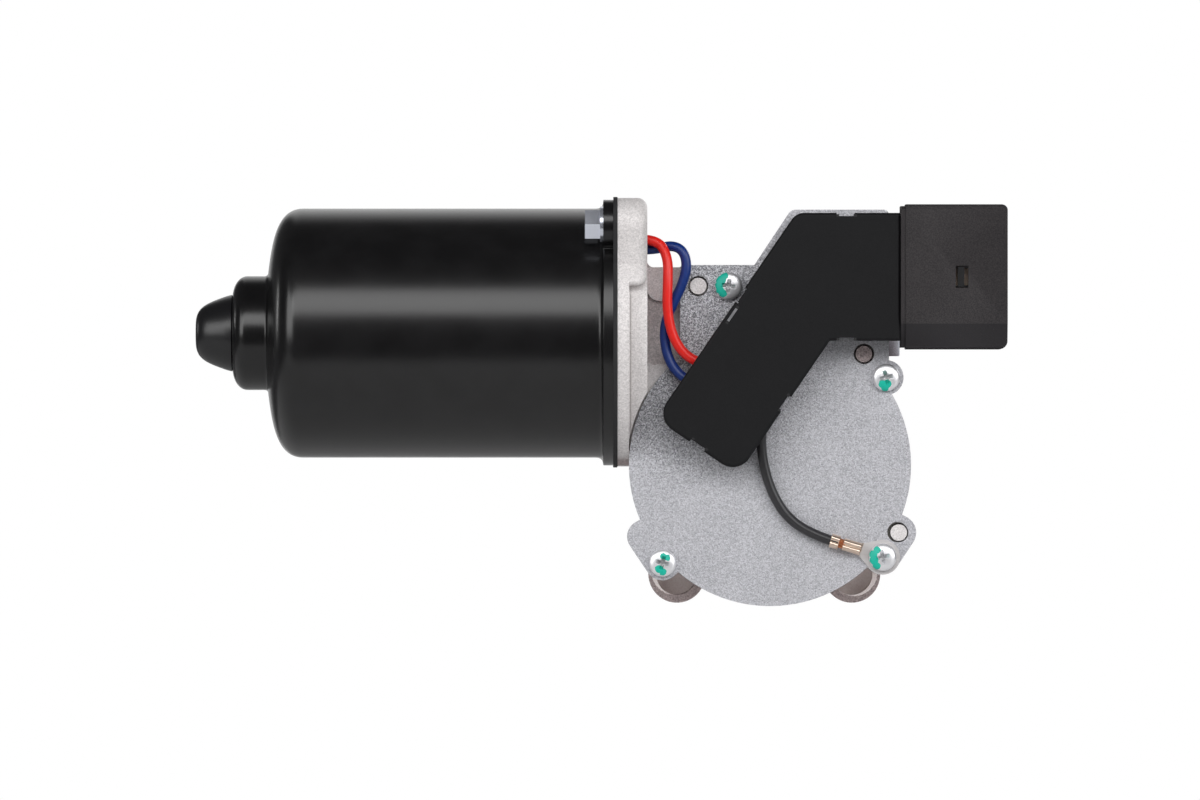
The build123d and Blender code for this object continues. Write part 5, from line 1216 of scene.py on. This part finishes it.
outline = [(x, hood_front + depth) for x, depth in zip(LATCH, LATCH_FRONT)]
outline += [(x, hood_front + LATCH_BACK) for x in LATCH[::-1]]
work = bmesh.new()
ends = []
for z in (LATCH_Z - LATCH_HEIGHT / 2, LATCH_Z + LATCH_HEIGHT / 2):
    ends.append([work.verts.new((x, y, z)) for x, y in outline])
prism(work, *ends)
mesh = close_mesh(work, "latch_ramp")
show(mesh, "latch_ramp", "connector_hood", finish="nose_moulding", instead=False)
print("snap windows", len(STRAIGHT_SNAPS) + len(ARM_SNAPS), "and a latch ramp")

# %% [markdown]
# ## The leads
#
# Three wires show: red and blue from the motor, and black to the ring terminal. A wire is a tube on
# a smooth curve. The points are those of the solid model's route, and a spline of the third order
# rounds them evenly.

# %% Lay the leads
LEAD_R = 1.4 * MM
ROUTES = {
    "red_lead": (
        (-45.6, -41.7, 62.5), (-40.6, -42.4, 63.1), (-31.4, -42.4, 63.1), (-28.6, -44.2, 58.2),
        (-28.6, -45.7, 51.4), (-28.9, -45.6, 44.0), (-27.6, -45.2, 36.6), (-24.4, -44.9, 31.2),
        (-19.6, -44.8, 28.4), (-15.0, -44.8, 27.6),
    ),
    "blue_lead": (
        (-45.6, -39.3, 59.7), (-40.6, -39.6, 60.3), (-32.3, -39.6, 60.3), (-27.6, -41.0, 61.6),
        (-24.2, -42.0, 60.0), (-23.2, -42.3, 55.8), (-24.4, -42.2, 50.9), (-27.0, -42.0, 45.6),
        (-29.3, -41.9, 40.2), (-29.6, -42.1, 34.4), (-28.0, -42.8, 28.4), (-24.0, -44.0, 23.9),
        (-19.0, -44.5, 21.8),
    ),
    "ground_lead": (
        (1.0, -44.8, 20.0), (-2.3, -44.2, 12.3), (-2.6, -42.7, 3.6), (-0.1, -41.8, -6.7),
        (4.8, -41.7, -14.9), (12.6, -41.9, -19.8), (19.0, -42.2, -21.7),
    ),
}


def lay_lead(node):
    """A wire on a smooth spline through a route's points."""
    curve = bpy.data.curves.new(node, "CURVE")
    curve.dimensions = "3D"
    curve.bevel_depth = LEAD_R
    curve.bevel_resolution = 6
    curve.resolution_u = 16
    curve.use_fill_caps = True
    spline = curve.splines.new("NURBS")
    spline.points.add(len(ROUTES[node]) - 1)
    for point, place in zip(spline.points, ROUTES[node]):
        point.co = (*[value * MM for value in place], 1)
    spline.order_u = 3
    spline.use_endpoint_u = True
    curve.materials.append(finishes[slot_of[node]])
    wire = add(node + "_wire", curve)
    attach(wire, body_of[node])
    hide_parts(node)


for node in ROUTES:
    lay_lead(node)

# %% [markdown]
# ## The springs
#
# Each brush is pushed by a small wound spring, and the spring's far end rests in its holder. When a
# worn or lifted brush slides outwards, the spring gets shorter by the same way. Each spring is shown
# as a merged copy of its solid, and the share of its length that it would keep is worked out and
# printed; the copy itself is not flattened.

# %% Work out what share of its length each brush spring would keep
for joint in frame["record"]["behaviour"]["joints"]:
    for soft in joint.get("deforming_nodes", ()):
        spring = dressed(soft["node"])
        way = Vector(joint["axis"]).normalized()
        points = [vertex.co for vertex in spring.data.vertices]
        reach = [way.dot(point) for point in points]
        middle = sum(points, Vector()) / len(points)
        anchor = middle + way * (max(reach) - way.dot(middle))
        keep = 1 - joint["range_m"][1] / (max(reach) - min(reach))
        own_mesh(spring)
        print(soft["node"], "keeps", round(keep, 3))

# %% [markdown]
# ## The casting and the pieces inside
#
# What the case and the can hide keeps its solid's mesh, and so does the casting. All of it still
# gets a real finish, so that an opened or posed model looks right.

# %% Finish the casting and the hidden solids
for node, solid in frame["nodes"].items():
    if not solid.hide_render:
        solid.data.materials.clear()
        solid.data.materials.append(finishes[slot_of[node]])
print("solids shown", sum(not solid.hide_render for solid in frame["nodes"].values()))

# %% [markdown]
